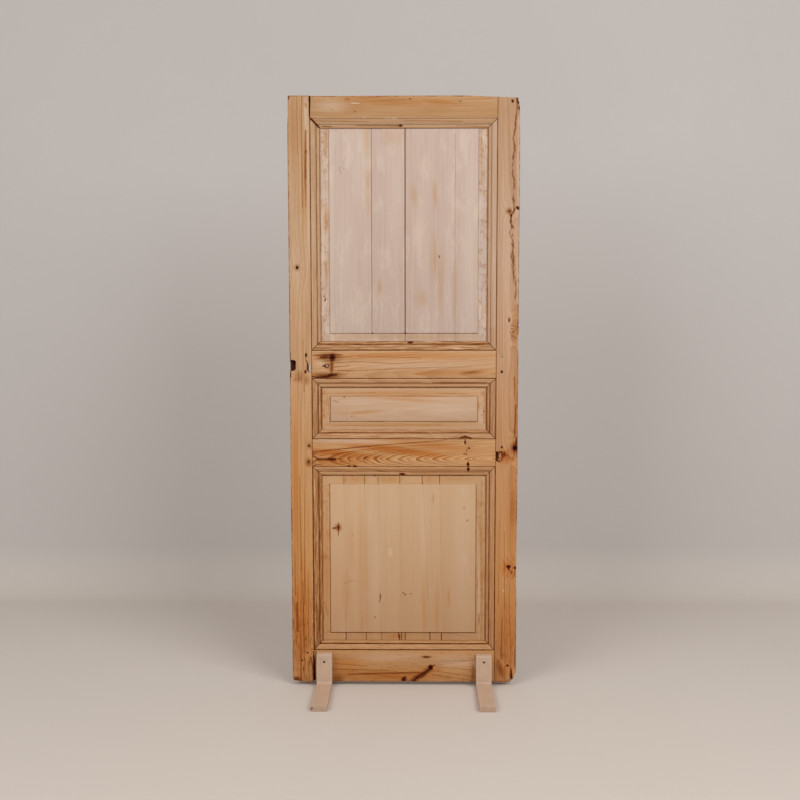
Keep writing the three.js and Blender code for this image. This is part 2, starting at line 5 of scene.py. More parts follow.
import bpy
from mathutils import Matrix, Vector


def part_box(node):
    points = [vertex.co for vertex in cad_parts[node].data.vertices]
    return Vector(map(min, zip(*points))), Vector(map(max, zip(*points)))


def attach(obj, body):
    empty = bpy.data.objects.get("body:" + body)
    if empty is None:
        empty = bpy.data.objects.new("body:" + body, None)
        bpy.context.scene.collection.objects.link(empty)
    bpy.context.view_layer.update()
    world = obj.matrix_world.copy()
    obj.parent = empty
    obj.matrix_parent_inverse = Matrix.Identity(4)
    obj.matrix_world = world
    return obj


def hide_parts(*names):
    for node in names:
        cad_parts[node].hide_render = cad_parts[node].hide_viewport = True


bl_info = {
    "name": "Weathered Panelled Door",
    "version": (1, 0, 0),
    "blender": (4, 5, 0),
    "location": "3D View > Sidebar > Door",
    "description": "Dresses an old stripped pine door that stands on painted feet",
    "category": "Object",
}

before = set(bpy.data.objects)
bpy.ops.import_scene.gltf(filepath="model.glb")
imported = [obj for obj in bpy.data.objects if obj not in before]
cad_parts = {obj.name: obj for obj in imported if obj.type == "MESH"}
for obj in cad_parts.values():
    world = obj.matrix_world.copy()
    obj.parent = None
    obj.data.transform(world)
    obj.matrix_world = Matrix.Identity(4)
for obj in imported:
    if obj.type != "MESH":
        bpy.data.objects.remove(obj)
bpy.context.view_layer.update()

MM = 0.001

# Sizes of the mouldings, in metres
MOULDING_WIDTH = 0.0325
MOULDING_STEP = 0.0108

STILES = ("stile_left", "stile_right")
RAILS = ("rail_top", "rail_lock", "rail_middle", "rail_bottom")
TOP_BOARDS = tuple(f"panel_top_board_{n}" for n in range(1, 6))
BOTTOM_BOARDS = tuple(f"panel_bottom_board_{n}" for n in range(1, 8))
FEET = ("front_left", "front_right", "back_left", "back_right")


# Colours and sizes that a user would change


def linear(red, green, blue):
    """The linear colour of a display colour given in steps of 0 to 255"""

    def channel(step):
        value = step / 255
        return value / 12.92 if value <= 0.04045 else ((value + 0.055) / 1.055) ** 2.4

    return (channel(red), channel(green), channel(blue))


def colour_setting(name, description, red, green, blue):
    """A colour property with its default given as a display colour"""
    return bpy.props.FloatVectorProperty(
        name=name,
        description=description,
        subtype="COLOR",
        size=3,
        min=0.0,
        max=1.0,
        default=linear(red, green, blue),
    )


def length_setting(name, description, default):
    """A length property in metres"""
    return bpy.props.FloatProperty(
        name=name,
        description=description,
        subtype="DISTANCE",
        unit="LENGTH",
        min=0.0,
        precision=5,
        default=default,
    )


class DoorSizes(bpy.types.PropertyGroup):
    wood_round: length_setting("Wood edge", "Rounding of the frame's worn edges", 0.0011)
    board_round: length_setting("Board edge", "Rounding of the boards' edges", 0.00015)
    paint_round: length_setting("Painted edge", "Rounding of the feet's edges", 0.0022)
    grain_relief: length_setting("Grain relief", "Height of the raised late wood", 0.00045)
    ring_width: length_setting("Ring width", "Width of one year ring in the frame", 0.0042)
    board_ring_width: length_setting("Board ring", "Width of one year ring in the boards", 0.0055)
    # The dirt line is the half width of the dirt and painted shade in the mouldings' quirk, step and
    # inner edge
    dirt_and_shade_width: length_setting("Dirt line", "Half width of the dirt in the mouldings", 0.0015)
    filler_width: length_setting("Filler width", "Width of the filler in a panel joint", 0.0014)
    filler_sunk: length_setting("Filler depth", "How far the filler lies below the face", 0.0002)
    peg_chamfer: length_setting("Peg chamfer", "Worn edge of a draw peg's end", 0.0008)
    screw_slot: length_setting("Screw recess", "Width of the cross in a screw head", 0.0012)
    lamp_size: length_setting("Lamp size", "Side of a soft studio lamp", 2.6)


class DoorColours(bpy.types.PropertyGroup):
    # The five pine colours are partly the wood's tone and partly painted light falloff, darker and more
    # orange towards the floor
    pine_foot: colour_setting("Pine at the foot", "Frame wood near the floor", 196, 143, 93)
    pine_low: colour_setting("Pine below", "Frame wood beside the bottom panel", 202, 150, 97)
    pine_middle: colour_setting("Pine in the middle", "Frame wood at the middle rail", 198, 152, 108)
    pine_high: colour_setting("Pine above", "Frame wood beside the top panel", 200, 165, 133)
    pine_top: colour_setting("Pine at the head", "Frame wood at the door's head", 188, 151, 115)
    top_board: colour_setting("Top panel", "Chalky wood of the top panel", 198, 176, 163)
    middle_board: colour_setting("Middle panel", "Wood of the middle panel", 199, 164, 134)
    bottom_board: colour_setting("Bottom panel", "Wood of the bottom panel", 202, 167, 133)
    wood_stain: colour_setting("Wood stain", "Filter of the dense year rings", 206, 180, 151)
    resin: colour_setting("Resin", "Filter of orange resin stains", 230, 178, 118)
    # This filter serves real dirt, and also the painted shade in the mouldings' lines and along the
    # panels' steps and rims
    dirt_and_shade: colour_setting("Old dirt", "Filter of the dirt left in grooves and pores", 172, 134, 94)
    bark: colour_setting("Bark", "Filter of the bark line near the hinge edge", 176, 140, 88)
    # The soot filter also paints shade into the lock notch
    soot_and_shade: colour_setting("Soot", "Filter of knots, holes and burns", 112, 63, 28)
    # Pale marks in the chalk colour also paint highlights on the head moulding and the right stile's
    # moulding
    chalk: colour_setting("Chalk", "Residue of whiting and filler", 216, 197, 180)
    foot_paint: colour_setting("Foot paint", "Cream paint of the feet", 197, 168, 143)
    screw_black: colour_setting("Screw black", "Blackened steel of the screws", 18, 15, 14)
    floor: colour_setting("Floor", "Plain studio floor", 206, 196, 187)
    backdrop: colour_setting("Backdrop", "Plain studio backdrop", 206, 201, 197)


# Node trees are wired with sockets and plain numbers alike


class Wiring:
    """Adds nodes to one shader tree and joins them"""

    def __init__(self, tree):
        self.tree = tree

    def feed(self, socket, value):
        if isinstance(value, bpy.types.NodeSocket):
            self.tree.links.new(value, socket)
        elif socket.type == "RGBA" and len(value) == 3:
            socket.default_value = (*value, 1.0)
        else:
            socket.default_value = value

    def add(self, kind, inputs=None, **settings):
        node = self.tree.nodes.new("ShaderNode" + kind)
        for name, value in settings.items():
            setattr(node, name, value)
        for key, value in (inputs or {}).items():
            self.feed(node.inputs[key], value)
        return node

    def effect(self, name, **inputs):
        """Places a shared effect; underscores in the input names stand for spaces"""
        node = self.tree.nodes.new("ShaderNodeGroup")
        node.node_tree = effects[name]
        node.label = node.node_tree.name
        for key, value in inputs.items():
            self.feed(node.inputs[key.replace("_", " ")], value)
        return node.outputs

    def give(self, **results):
        """Ends a shared effect with its results and returns the effect"""
        end = self.tree.nodes.new("NodeGroupOutput").inputs
        for key, value in results.items():
            self.feed(end[key.replace("_", " ")], value)
        return self.tree

    def calc(self, operation, *values, clamp=False):
        inputs = dict(enumerate(values))
        return self.add("Math", inputs, operation=operation, use_clamp=clamp).outputs[0]

    def repeated(self, operation, values):
        """The same operation on several values, from left to right"""
        result = values[0]
        for value in values[1:]:
            result = self.calc(operation, result, value)
        return result

    def times(self, *values):
        return self.repeated("MULTIPLY", values)

    def plus(self, *values):
        return self.repeated("ADD", values)

    def times_plus(self, value, factor, extra):
        return self.calc("MULTIPLY_ADD", value, factor, extra)

    def minus(self, first, second):
        return self.calc("SUBTRACT", first, second)

    def most(self, *values):
        return self.repeated("MAXIMUM", values)

    def least(self, *values):
        return self.repeated("MINIMUM", values)

    def gap(self, first, second):
        """How far apart two values are"""
        return self.calc("ABSOLUTE", self.minus(first, second))

    def vector(self, operation, *values):
        node = self.add("VectorMath", dict(enumerate(values)), operation=operation)
        single = operation in {"LENGTH", "DISTANCE", "DOT_PRODUCT"}
        return node.outputs["Value" if single else "Vector"]

    def stretched(self, vector, factors):
        return self.vector("MULTIPLY", vector, factors)

    def scaled(self, vector, factor):
        node = self.add("VectorMath", {"Vector": vector, "Scale": factor}, operation="SCALE")
        return node.outputs["Vector"]

    def jostled(self, vector, cloud, amount):
        """Places shifted by the colour of a cloud, by up to half the amount"""
        shift = self.scaled(self.vector("SUBTRACT", cloud, (0.5, 0.5, 0.5)), amount)
        return self.vector("ADD", vector, shift)

    def ramp(self, value, low, high, start, end, kind):
        inputs = {"Value": value, "From Min": low, "From Max": high, "To Min": start, "To Max": end}
        return self.add("MapRange", inputs, interpolation_type=kind).outputs["Result"]

    def ease(self, value, low, high, start=0.0, end=1.0):
        """A smooth step from start to end as the value goes from low to high"""
        return self.ramp(value, low, high, start, end, "SMOOTHSTEP")

    def fade(self, value, low, high, start=1.0):
        """A smooth step down from start to nothing as the value goes from low to high"""
        return self.ease(value, low, high, start, 0.0)

    def spread(self, value, low, high, start=0.0, end=1.0):
        """A straight, clamped ramp from start to end as the value goes from low to high"""
        return self.ramp(value, low, high, start, end, "LINEAR")

    def noise(self, vector, scale, detail=2.0, roughness=0.5, output=0):
        inputs = {"Vector": vector, "Scale": scale, "Detail": detail, "Roughness": roughness}
        return self.add("TexNoise", inputs).outputs[output]

    def wobble(self, vector, scale, detail=2.0, roughness=0.5):
        """Noise that goes above and below nought"""
        return self.minus(self.noise(vector, scale, detail, roughness), 0.5)

    def noise_along(self, value, scale):
        """Noise along a single value"""
        inputs = {"W": value, "Scale": scale, "Detail": 1.0}
        return self.add("TexNoise", inputs, noise_dimensions="1D").outputs[0]

    def split(self, vector):
        return self.add("SeparateXYZ", {0: vector}).outputs

    def blend(self, factor, first, second, mode="MIX"):
        node = self.add("Mix", data_type="RGBA", blend_type=mode)
        self.feed(node.inputs[0], factor)
        self.feed(node.inputs[6], first)
        self.feed(node.inputs[7], second)
        return node.outputs[2]

    def tinted(self, colour, tint, factor=1.0):
        return self.blend(factor, colour, tint, "MULTIPLY")

    def shaded(self, colour, shade):
        """A colour made lighter or darker by a number"""
        return self.tinted(colour, self.add("CombineXYZ", {0: shade, 1: shade, 2: shade}).outputs[0])


COLOUR_SOCKETS = {"Color", "Filter", "Tone", "Paint", "Worn"}
VECTOR_SOCKETS = {"Vector", "Place", "Size", "Low", "High", "From", "To"}


def new_effect(name, inputs, outputs):
    """An empty shader group; returns its wiring and the sockets of its inputs"""

    def new_socket(label, direction):
        kind = "Color" if label in COLOUR_SOCKETS else "Vector" if label in VECTOR_SOCKETS else "Float"
        return group.interface.new_socket(label, in_out=direction, socket_type="NodeSocket" + kind)

    group = bpy.data.node_groups.new(name, "ShaderNodeTree")
    for label, default in inputs.items():
        socket = new_socket(label, "INPUT")
        if default is not None:
            socket.default_value = (*default, 1.0) if label in COLOUR_SOCKETS else default
    for label in outputs:
        new_socket(label, "OUTPUT")
    return Wiring(group), group.nodes.new("NodeGroupInput").outputs


# Effects that several materials share, with the sockets' defaults

PLAIN_WOOD = (0.5, 0.3, 0.15)
PLAIN_STAIN = (0.6, 0.4, 0.2)
SIDES = ("Left", "Right", "Bottom", "Top")
FLAT = (1.0, 0.0, 1.0)


def ragged_place_effect():
    """Shifts places a little, so that marks have ragged edges"""
    inputs = {"Vector": None, "Scale": 120.0, "Amount": 0.003}
    wire, start = new_effect("Ragged Place", inputs, ["Vector"])
    cloud = wire.noise(start["Vector"], start["Scale"], 3.0, 0.6, output="Color")
    return wire.give(Vector=wire.jostled(start["Vector"], cloud, start["Amount"]))


def pine_figure_effect():
    """Year rings of a log along X, with the fibres and slow streaks of the wood"""
    inputs = {"Vector": None, "Ring Width": 0.004, "Wander": 0.02, "Push": 0.0}
    outputs = ["Late Wood", "Streak", "Fibre", "Cloud", "Height"]
    wire, start = new_effect("Pine Figure", inputs, outputs)
    place, ring_width = start["Vector"], start["Ring Width"]
    long_place = wire.stretched(place, (0.14, 1.0, 1.0))
    slow = wire.noise(long_place, 7.0, output="Color")
    bent = wire.split(wire.jostled(place, slow, start["Wander"]))
    square = wire.times(bent["Y"], bent["Y"])
    radius = wire.calc("SQRT", wire.times_plus(bent["Z"], bent["Z"], square))
    ripple = wire.times(wire.wobble(long_place, 70.0, 2.0, 0.55), ring_width)
    ring = wire.calc("DIVIDE", wire.plus(radius, start["Push"], ripple), ring_width)
    ring = wire.times_plus(wire.noise_along(ring, 0.23), 2.4, ring)
    phase = wire.calc("FRACT", ring)
    dense = wire.ease(wire.noise_along(ring, 0.61), 0.3, 0.68, 0.25, 1.0)
    cloud = wire.noise(wire.stretched(place, (0.35, 1.0, 1.0)), 11.0, 3.0, 0.6)
    faint = wire.ease(cloud, 0.3, 0.62, 0.45, 1.0)
    late = wire.times(wire.ease(phase, 0.2, 0.9), wire.fade(phase, 0.92, 1.0), dense, faint)
    thin = wire.stretched(place, (0.03, 1.0, 1.0))
    streak = wire.noise(thin, 120.0, 3.0, 0.62)
    fibre = wire.noise(thin, 900.0, 2.0, 0.6)
    height = wire.times_plus(late, 0.6, wire.times(fibre, 0.35))
    return wire.give(Late_Wood=late, Streak=streak, Fibre=fibre, Cloud=cloud, Height=height)


def stain_effect():
    """A see-through stain: as it soaks in deeper, the wood below darkens and grows warmer"""
    inputs = {"Color": PLAIN_WOOD, "Filter": PLAIN_STAIN, "Depth": 1.0}
    wire, start = new_effect("Stain", inputs, ["Color"])
    channels = wire.add("SeparateColor", {"Color": start["Filter"]}).outputs
    passed = [wire.calc("POWER", channel, start["Depth"]) for channel in channels]
    veil = wire.add("CombineColor", dict(enumerate(passed))).outputs[0]
    return wire.give(Color=wire.tinted(start["Color"], veil))


def pine_colour_effect():
    """Colours the bare wood from its tone and its figure"""
    inputs = {"Tone": PLAIN_WOOD, "Filter": PLAIN_STAIN, "Late Wood": 0.0, "Streak": 0.5}
    inputs.update({"Fibre": 0.5, "Cloud": 0.5, "Figure": 0.6, "Streakiness": 0.3})
    wire, start = new_effect("Pine Colour", inputs, ["Color"])
    streak = wire.spread(start["Streak"], 0.68, 0.32, -1.0, 1.0)
    fibre = wire.spread(start["Fibre"], 0.7, 0.3, -0.5, 0.5)
    cloud = wire.spread(start["Cloud"], 0.7, 0.3, -0.5, 0.5)
    change = wire.times(wire.plus(streak, fibre, cloud), start["Streakiness"])
    depth = wire.times_plus(start["Late Wood"], start["Figure"], change)
    stain = wire.effect("stain", Color=start["Tone"], Filter=start["Filter"], Depth=depth)
    return wire.give(Color=stain["Color"])


def tone_and_falloff_effect():
    """The frame's tone, which goes from pale at the head to deep orange at the foot: partly the wood's
    own colour, partly painted light falloff towards the floor
    """
    colours = bpy.context.scene.door_colours
    ramp_height = 2.1
    wire, start = new_effect("Stripped Tone", {"Vector": None}, ["Color"])
    height = wire.split(start["Vector"])["Z"]
    ramp = wire.add("ValToRGB", {"Fac": wire.calc("DIVIDE", height, ramp_height)})
    stops = [
        (0.02, colours.pine_foot),
        (0.22, colours.pine_low),
        (0.43, colours.pine_middle),
        (0.72, colours.pine_high),
        (0.97, colours.pine_top),
    ]
    points = ramp.color_ramp.elements
    while len(points) < len(stops):
        points.new(0.5)
    for point, (position, colour) in zip(points, stops):
        point.position = position
        point.color = (*colour, 1.0)
    return wire.give(Color=ramp.outputs["Color"])


def soft_edge(wire, distance, start):
    """The mask of a mark whose edge lies at a distance of 1"""
    near = wire.minus(1.0, start["Softness"])
    far = wire.plus(1.0, start["Softness"])
    return wire.fade(distance, near, far, start["Strength"])


def dab_effect():
    """A soft-edged oval on the door's face"""
    inputs = {"Vector": None, "Place": None, "Size": (0.01, 1.0, 0.01), "Turn": 0.0}
    inputs.update({"Softness": 0.4, "Strength": 1.0})
    wire, start = new_effect("Dab", inputs, ["Mask"])
    inputs = {"Vector": start["Vector"], "Center": start["Place"], "Angle": start["Turn"]}
    turned = wire.add("VectorRotate", inputs, rotation_type="Y_AXIS").outputs[0]
    apart = wire.vector("DIVIDE", wire.vector("SUBTRACT", turned, start["Place"]), start["Size"])
    distance = wire.vector("LENGTH", wire.stretched(apart, FLAT))
    return wire.give(Mask=soft_edge(wire, distance, start))


def stroke_effect():
    """A tapered line between two places on the door's face"""
    inputs = {"Vector": None, "From": None, "To": None, "Start Width": 0.002, "End Width": 0.001}
    inputs.update({"Softness": 0.4, "Strength": 1.0})
    wire, start = new_effect("Stroke", inputs, ["Mask"])
    along = wire.stretched(wire.vector("SUBTRACT", start["To"], start["From"]), FLAT)
    away = wire.stretched(wire.vector("SUBTRACT", start["Vector"], start["From"]), FLAT)
    reach = wire.vector("DOT_PRODUCT", along, along)
    part = wire.calc("DIVIDE", wire.vector("DOT_PRODUCT", away, along), reach, clamp=True)
    distance = wire.vector("DISTANCE", away, wire.scaled(along, part))
    taper = wire.spread(part, 0.0, 1.0, start["Start Width"], start["End Width"])
    return wire.give(Mask=soft_edge(wire, wire.calc("DIVIDE", distance, taper), start))


def border_effect():
    """How far a place is outside a rectangle on the door's face, and on which of its sides"""
    inputs = {"Vector": None, "Low": None, "High": None}
    wire, start = new_effect("Border", inputs, ["Distance", "Across", "Upward", *SIDES])
    low, high = start["Low"], start["High"]
    centre = wire.scaled(wire.vector("ADD", low, high), 0.5)
    half = wire.split(wire.scaled(wire.vector("SUBTRACT", high, low), 0.5))
    place = wire.split(wire.vector("SUBTRACT", start["Vector"], centre))
    across = wire.minus(wire.calc("ABSOLUTE", place["X"]), half["X"])
    upward = wire.minus(wire.calc("ABSOLUTE", place["Z"]), half["Z"])
    sideways = wire.calc("GREATER_THAN", across, upward)
    level = wire.minus(1.0, sideways)
    right = wire.calc("GREATER_THAN", place["X"], 0.0)
    top = wire.calc("GREATER_THAN", place["Z"], 0.0)
    return wire.give(
        Distance=wire.most(across, upward),
        Across=across,
        Upward=upward,
        Left=wire.times(sideways, wire.minus(1.0, right)),
        Right=wire.times(sideways, right),
        Bottom=wire.times(level, wire.minus(1.0, top)),
        Top=wire.times(level, top),
    )


def moulding_dirt_and_shade_effect():
    """Dirt and painted shade along the quirk, the step and the inner edge, and dark mitre joints, round
    one opening
    """
    inputs = {"Vector": None, "Low": None, "High": None, "Moulding Width": MOULDING_WIDTH}
    inputs.update({"Line Width": 0.0015, "Quirk": 0.9, "Step": 0.6, "Edge": 0.5, "Mitre": 1.5})
    wire, start = new_effect("Moulding Dirt", inputs, ["Dirt", "Moulding"])
    place, width = start["Vector"], start["Moulding Width"]
    sides = wire.effect("border", Vector=place, Low=start["Low"], High=start["High"])
    outside = sides["Distance"]
    distance = wire.times_plus(wire.wobble(place, 70.0), 0.002, outside)
    patches = wire.ease(wire.noise(place, 17.0, 4.0, 0.7), 0.32, 0.62, 0.55, 1.25)
    streaks = wire.ease(wire.noise(place, 120.0, 2.0, 0.6), 0.3, 0.6, 0.7, 1.1)
    filled = wire.times(patches, streaks)

    def line(spot, strength, near, far):
        near, far = (wire.times(start["Line Width"], part) for part in (near, far))
        return wire.fade(wire.gap(distance, spot), near, far, strength)

    quirk = line(wire.minus(width, 0.0008), start["Quirk"], 0.4, 1.7)
    step = line(MOULDING_STEP, start["Step"], 0.3, 2.1)
    edge = line(0.001, start["Edge"], 0.6, 2.0)
    on_moulding = wire.calc("GREATER_THAN", outside, -0.001)
    moulding = wire.times(on_moulding, wire.calc("LESS_THAN", outside, width))
    mitre = wire.fade(wire.gap(sides["Across"], sides["Upward"]), 0.0005, 0.002, start["Mitre"])
    dirt = wire.times(wire.most(quirk, step, edge), filled)
    dirt = wire.most(dirt, wire.times(mitre, moulding))
    near_opening = wire.fade(outside, 0.035, 0.037)
    return wire.give(Dirt=wire.times(dirt, near_opening), Moulding=moulding)


def edge_rub_effect():
    """A mask along the edges of a box-shaped piece, given its lowest and highest corners"""
    inputs = {"Vector": None, "Low": None, "High": None, "Width": 0.004}
    wire, start = new_effect("Edge Rub", inputs, ["Mask"])
    below = wire.vector("SUBTRACT", start["Vector"], start["Low"])
    above = wire.vector("SUBTRACT", start["High"], start["Vector"])
    near = wire.split(wire.vector("MINIMUM", below, above))
    nearer = wire.least(near["X"], near["Y"])
    farther = wire.most(near["X"], near["Y"])
    edge = wire.most(nearer, wire.least(farther, near["Z"]))
    ragged = wire.noise(start["Vector"], 45.0, 3.0, 0.7)
    width = wire.times(start["Width"], wire.spread(ragged, 0.35, 0.7, 0.0, 1.8))
    return wire.give(Mask=wire.fade(wire.minus(edge, width), -0.001, 0.0008))


def whiting_effect():
    """Chalky residue in blotches, with the fine dark crackle that it leaves"""
    inputs = {"Vector": None, "Scale": 30.0, "Cover": 0.5}
    wire, start = new_effect("Whiting", inputs, ["Chalk", "Crackle"])
    tall = wire.stretched(start["Vector"], (1.0, 1.0, 0.3))
    cloud = wire.noise(tall, start["Scale"], 4.0, 0.65)
    low = wire.minus(0.72, wire.times(start["Cover"], 0.4))
    chalk = wire.ease(cloud, low, wire.plus(low, 0.16))
    shift = wire.scaled(wire.noise(start["Vector"], 60.0, output="Color"), 0.02)
    inputs = {"Vector": wire.vector("ADD", tall, shift), "Scale": 95.0}
    cells = wire.add("TexVoronoi", inputs, feature="DISTANCE_TO_EDGE")
    lines = wire.fade(cells.outputs["Distance"], 0.02, 0.11)
    broken = wire.ease(wire.noise(start["Vector"], 38.0), 0.47, 0.6)
    return wire.give(Chalk=chalk, Crackle=wire.times(lines, broken))


def bark_line_effect():
    """A dark line whose place across the board is given at every height"""
    inputs = {"Vector": None, "Across": 0.38, "Width": 0.002, "Bottom": 0.0, "Top": 2.0}
    wire, start = new_effect("Bark Line", inputs, ["Line"])
    place = wire.split(start["Vector"])
    breaks = wire.noise(start["Vector"], 42.0, 2.0, 0.6)
    width = wire.times(start["Width"], wire.spread(breaks, 0.3, 0.65, 0.2, 1.5))
    line = wire.calc("DIVIDE", wire.gap(place["X"], start["Across"]), width)
    above = wire.minus(place["Z"], start["Bottom"])
    below = wire.minus(start["Top"], place["Z"])
    inside = wire.ease(wire.least(above, below), -0.004, 0.012)
    return wire.give(Line=wire.times(wire.fade(line, 0.5, 1.4), inside))


def flame_effect():
    """Stacked chevrons of late wood, as where the grain rises out of a board"""
    inputs = {"Vector": None, "Place": None, "Size": (0.01, 1.0, 0.05), "Pitch": 0.012, "Slope": 2.0}
    wire, start = new_effect("Flame Grain", inputs, ["Mask"])
    away = wire.vector("SUBTRACT", start["Vector"], start["Place"])
    place = wire.split(away)
    rise = wire.times_plus(wire.calc("ABSOLUTE", place["X"]), start["Slope"], place["Z"])
    rise = wire.times_plus(wire.noise(start["Vector"], 40.0), 0.02, rise)
    phase = wire.calc("FRACT", wire.calc("DIVIDE", rise, start["Pitch"]))
    stripe = wire.times(wire.ease(phase, 0.45, 0.85), wire.fade(phase, 0.9, 1.0))
    flat = wire.stretched(wire.vector("DIVIDE", away, start["Size"]), FLAT)
    window = wire.fade(wire.vector("LENGTH", flat), 0.6, 1.1)
    return wire.give(Mask=wire.times(stripe, window))


def brushed_paint_effect():
    """Old matt paint: brush marks, thin worn places and small bumps"""
    inputs = {"Vector": None, "Paint": (0.5, 0.4, 0.3), "Worn": (0.6, 0.5, 0.4), "Wear": 0.0}
    wire, start = new_effect("Brushed Paint", inputs, ["Color", "Roughness", "Height"])
    brush = wire.noise(wire.stretched(start["Vector"], (1.0, 0.06, 0.06)), 500.0, 3.0, 0.6)
    cloud = wire.noise(start["Vector"], 22.0, 3.0, 0.6)
    grime = wire.noise(start["Vector"], 160.0, 4.0, 0.65)
    shade = wire.times_plus(wire.minus(brush, 0.5), 0.16, 1.0)
    shade = wire.times_plus(wire.minus(cloud, 0.5), 0.3, shade)
    thin = wire.times(start["Wear"], wire.ease(grime, 0.35, 0.6, 0.35, 1.0))
    colour = wire.blend(thin, wire.shaded(start["Paint"], shade), start["Worn"])
    height = wire.times_plus(brush, 0.6, wire.times(grime, 0.4))
    rough = wire.spread(cloud, 0.3, 0.7, 0.48, 0.66)
    return wire.give(Color=colour, Roughness=rough, Height=height)


# An effect that another one uses comes before it
EFFECT_MAKERS = {
    "ragged": ragged_place_effect,
    "figure": pine_figure_effect,
    "stain": stain_effect,
    "pine": pine_colour_effect,
    "tone": tone_and_falloff_effect,
    "dab": dab_effect,
    "stroke": stroke_effect,
    "border": border_effect,
    "moulding": moulding_dirt_and_shade_effect,
    "edge rub": edge_rub_effect,
    "whiting": whiting_effect,
    "bark line": bark_line_effect,
    "flame": flame_effect,
    "paint": brushed_paint_effect,
}
effects = {}


def make_effects():
    """Builds each shared effect once"""
    if not effects:
        for name, make in EFFECT_MAKERS.items():
            effects[name] = make()


# Marks, in millimetres on the door's face


def face_place(x, z):
    return (x * MM, 0.0, z * MM)


def dab(x, z, width, height, turn, soft, strength):
    """An oval mark, given by its middle, its half width and half height, and its turn in degrees"""
    inputs = {"Place": face_place(x, z), "Size": (width * MM, 1.0, height * MM)}
    inputs.update({"Turn": math.radians(turn), "Softness": soft, "Strength": strength})
    return {"effect": "dab", "reach": (x - width, x + width), "inputs": inputs}


def stroke(x, z, to_x, to_z, width, to_width, soft, strength):
    """A tapered line, given by its ends and its half width at each of them"""
    inputs = {"From": face_place(x, z), "To": face_place(to_x, to_z), "Start Width": width * MM}
    inputs.update({"End Width": to_width * MM, "Softness": soft, "Strength": strength})
    return {"effect": "stroke", "reach": (min(x, to_x), max(x, to_x)), "inputs": inputs}


def joint_lines(top, bottom, lines):
    """The dark joints between boards across one margin: from x, to x, half width and strength"""
    return [stroke(x, top, to_x, bottom, width, width, 0.6, deep) for x, to_x, width, deep in lines]


STILE_LEFT_MARKS = {
    "dark": [
        dab(-396, 2070, 3, 6, 0, 0.5, 0.8),
        dab(-398, 2053, 2, 9, 0, 0.5, 0.8),
        dab(-371, 1492, 4.6, 5, 0, 0.4, 1.1),
        dab(-342, 1188, 3.6, 6.5, 10, 0.5, 0.95),
        stroke(-344, 1182, -345, 1170, 1.6, 0.6, 0.7, 0.6),
        dab(-345, 1130, 3.4, 5, 0, 0.4, 1.0),
        stroke(-342, 1170, -337.5, 1158, 1.4, 2.0, 0.5, 1.0),
        stroke(-337.5, 1158, -338, 1134, 2.2, 2.2, 0.5, 1.0),
        # These four strokes paint the lock notch's rim and the forend recess along the edge dark: old
        # stain and painted shade in the pocket and the recess
        stroke(-399, 1168, -383, 1168, 1.6, 1.8, 0.5, 1.0),
        stroke(-382, 1168, -382, 1140, 2.0, 1.6, 0.5, 1.0),
        stroke(-382, 1140, -390, 1132, 1.6, 1.4, 0.5, 0.8),
        stroke(-398, 1196, -397, 1110, 1.4, 2.2, 0.6, 0.8),
        dab(-334, 867, 3.2, 4, 0, 0.5, 0.8),
        dab(-337, 810, 3.2, 4, 0, 0.5, 0.8),
        dab(-386, 20, 14, 9, 0, 0.8, 0.6),
        stroke(-324, 122, -323, 20, 1.4, 4.6, 0.5, 1.1),
        stroke(-334, 104, -327, 60, 1.2, 2.0, 0.7, 0.5),
        stroke(-323.5, 2077, -323, 2008, 2.6, 1.8, 0.5, 0.9),
        stroke(-323, 2008, -293, 1972, 1.6, 2.6, 0.5, 0.8),
        stroke(-398, 640, -398, 560, 1.6, 1.0, 0.6, 0.5),
    ],
    "brown": [
        stroke(-350, 2078, -351, 1700, 1.4, 1.0, 0.8, 0.5),
        stroke(-366, 2078, -366, 1880, 1.2, 0.6, 0.8, 0.25),
        dab(-337, 1889, 4, 9, 0, 0.6, 0.75),
        stroke(-337, 1960, -339, 1800, 2.0, 3.6, 0.9, 0.6),
        stroke(-340, 1800, -338, 1700, 3.6, 1.5, 0.9, 0.35),
        stroke(-336, 2050, -335, 2040, 2.4, 1.6, 0.7, 0.6),
        # This broad stroke fills the lock notch with dirt colour: old stain and painted shade on the
        # pocket's floor
        stroke(-391, 1160, -391, 1142, 10.0, 9.0, 0.25, 2.3),
        dab(-366, 1112, 16, 16, 0, 1.0, 0.35),
        dab(-337, 808, 9, 12, 0, 0.9, 0.6),
        dab(-334, 866, 8, 10, 0, 0.9, 0.35),
        dab(-371, 1492, 9, 10, 0, 0.9, 0.35),
        stroke(-348, 1530, -362, 1506, 1.0, 1.0, 0.9, 0.2),
        stroke(-362, 1472, -345, 1440, 1.0, 1.0, 0.9, 0.15),
        dab(-366, 1103, 20, 6, 8, 0.9, 0.4),
        dab(-342, 1100, 10, 14, 0, 0.9, 0.35),
        stroke(-352, 1240, -350, 1060, 1.0, 1.6, 0.9, 0.35),
        stroke(-369, 760, -366, 420, 1.2, 2.2, 0.8, 0.35),
        stroke(-352, 700, -354, 300, 1.2, 2.2, 0.8, 0.35),
        stroke(-383, 300, -381, 200, 3.5, 5.0, 0.9, 0.55),
        stroke(-362, 380, -358, 120, 1.6, 2.2, 0.8, 0.4),
        stroke(-340, 420, -343, 160, 1.4, 2.0, 0.8, 0.35),
        stroke(-388, 480, -387, 330, 1.4, 2.0, 0.8, 0.35),
        stroke(-372, 200, -370, 30, 1.8, 3.0, 0.8, 0.4),
    ],
    "amber": [
        dab(-345, 1760, 9, 120, 0, 0.9, 0.25),
        dab(-375, 1950, 22, 90, 0, 0.9, 0.15),
        dab(-382, 700, 12, 260, 0, 0.9, 0.35),
        dab(-365, 240, 28, 170, 0, 0.9, 0.5),
    ],
    "pale": [
        dab(-337, 2010, 4.5, 50, 0, 0.8, 0.4),
        dab(-330, 1760, 3.5, 200, 0, 0.8, 0.35),
        dab(-372, 1490, 16, 60, 0, 1.0, 0.12),
    ],
}
STILE_LEFT_KNOTS = [(-371, 1492, 26, 60, 9.0)]

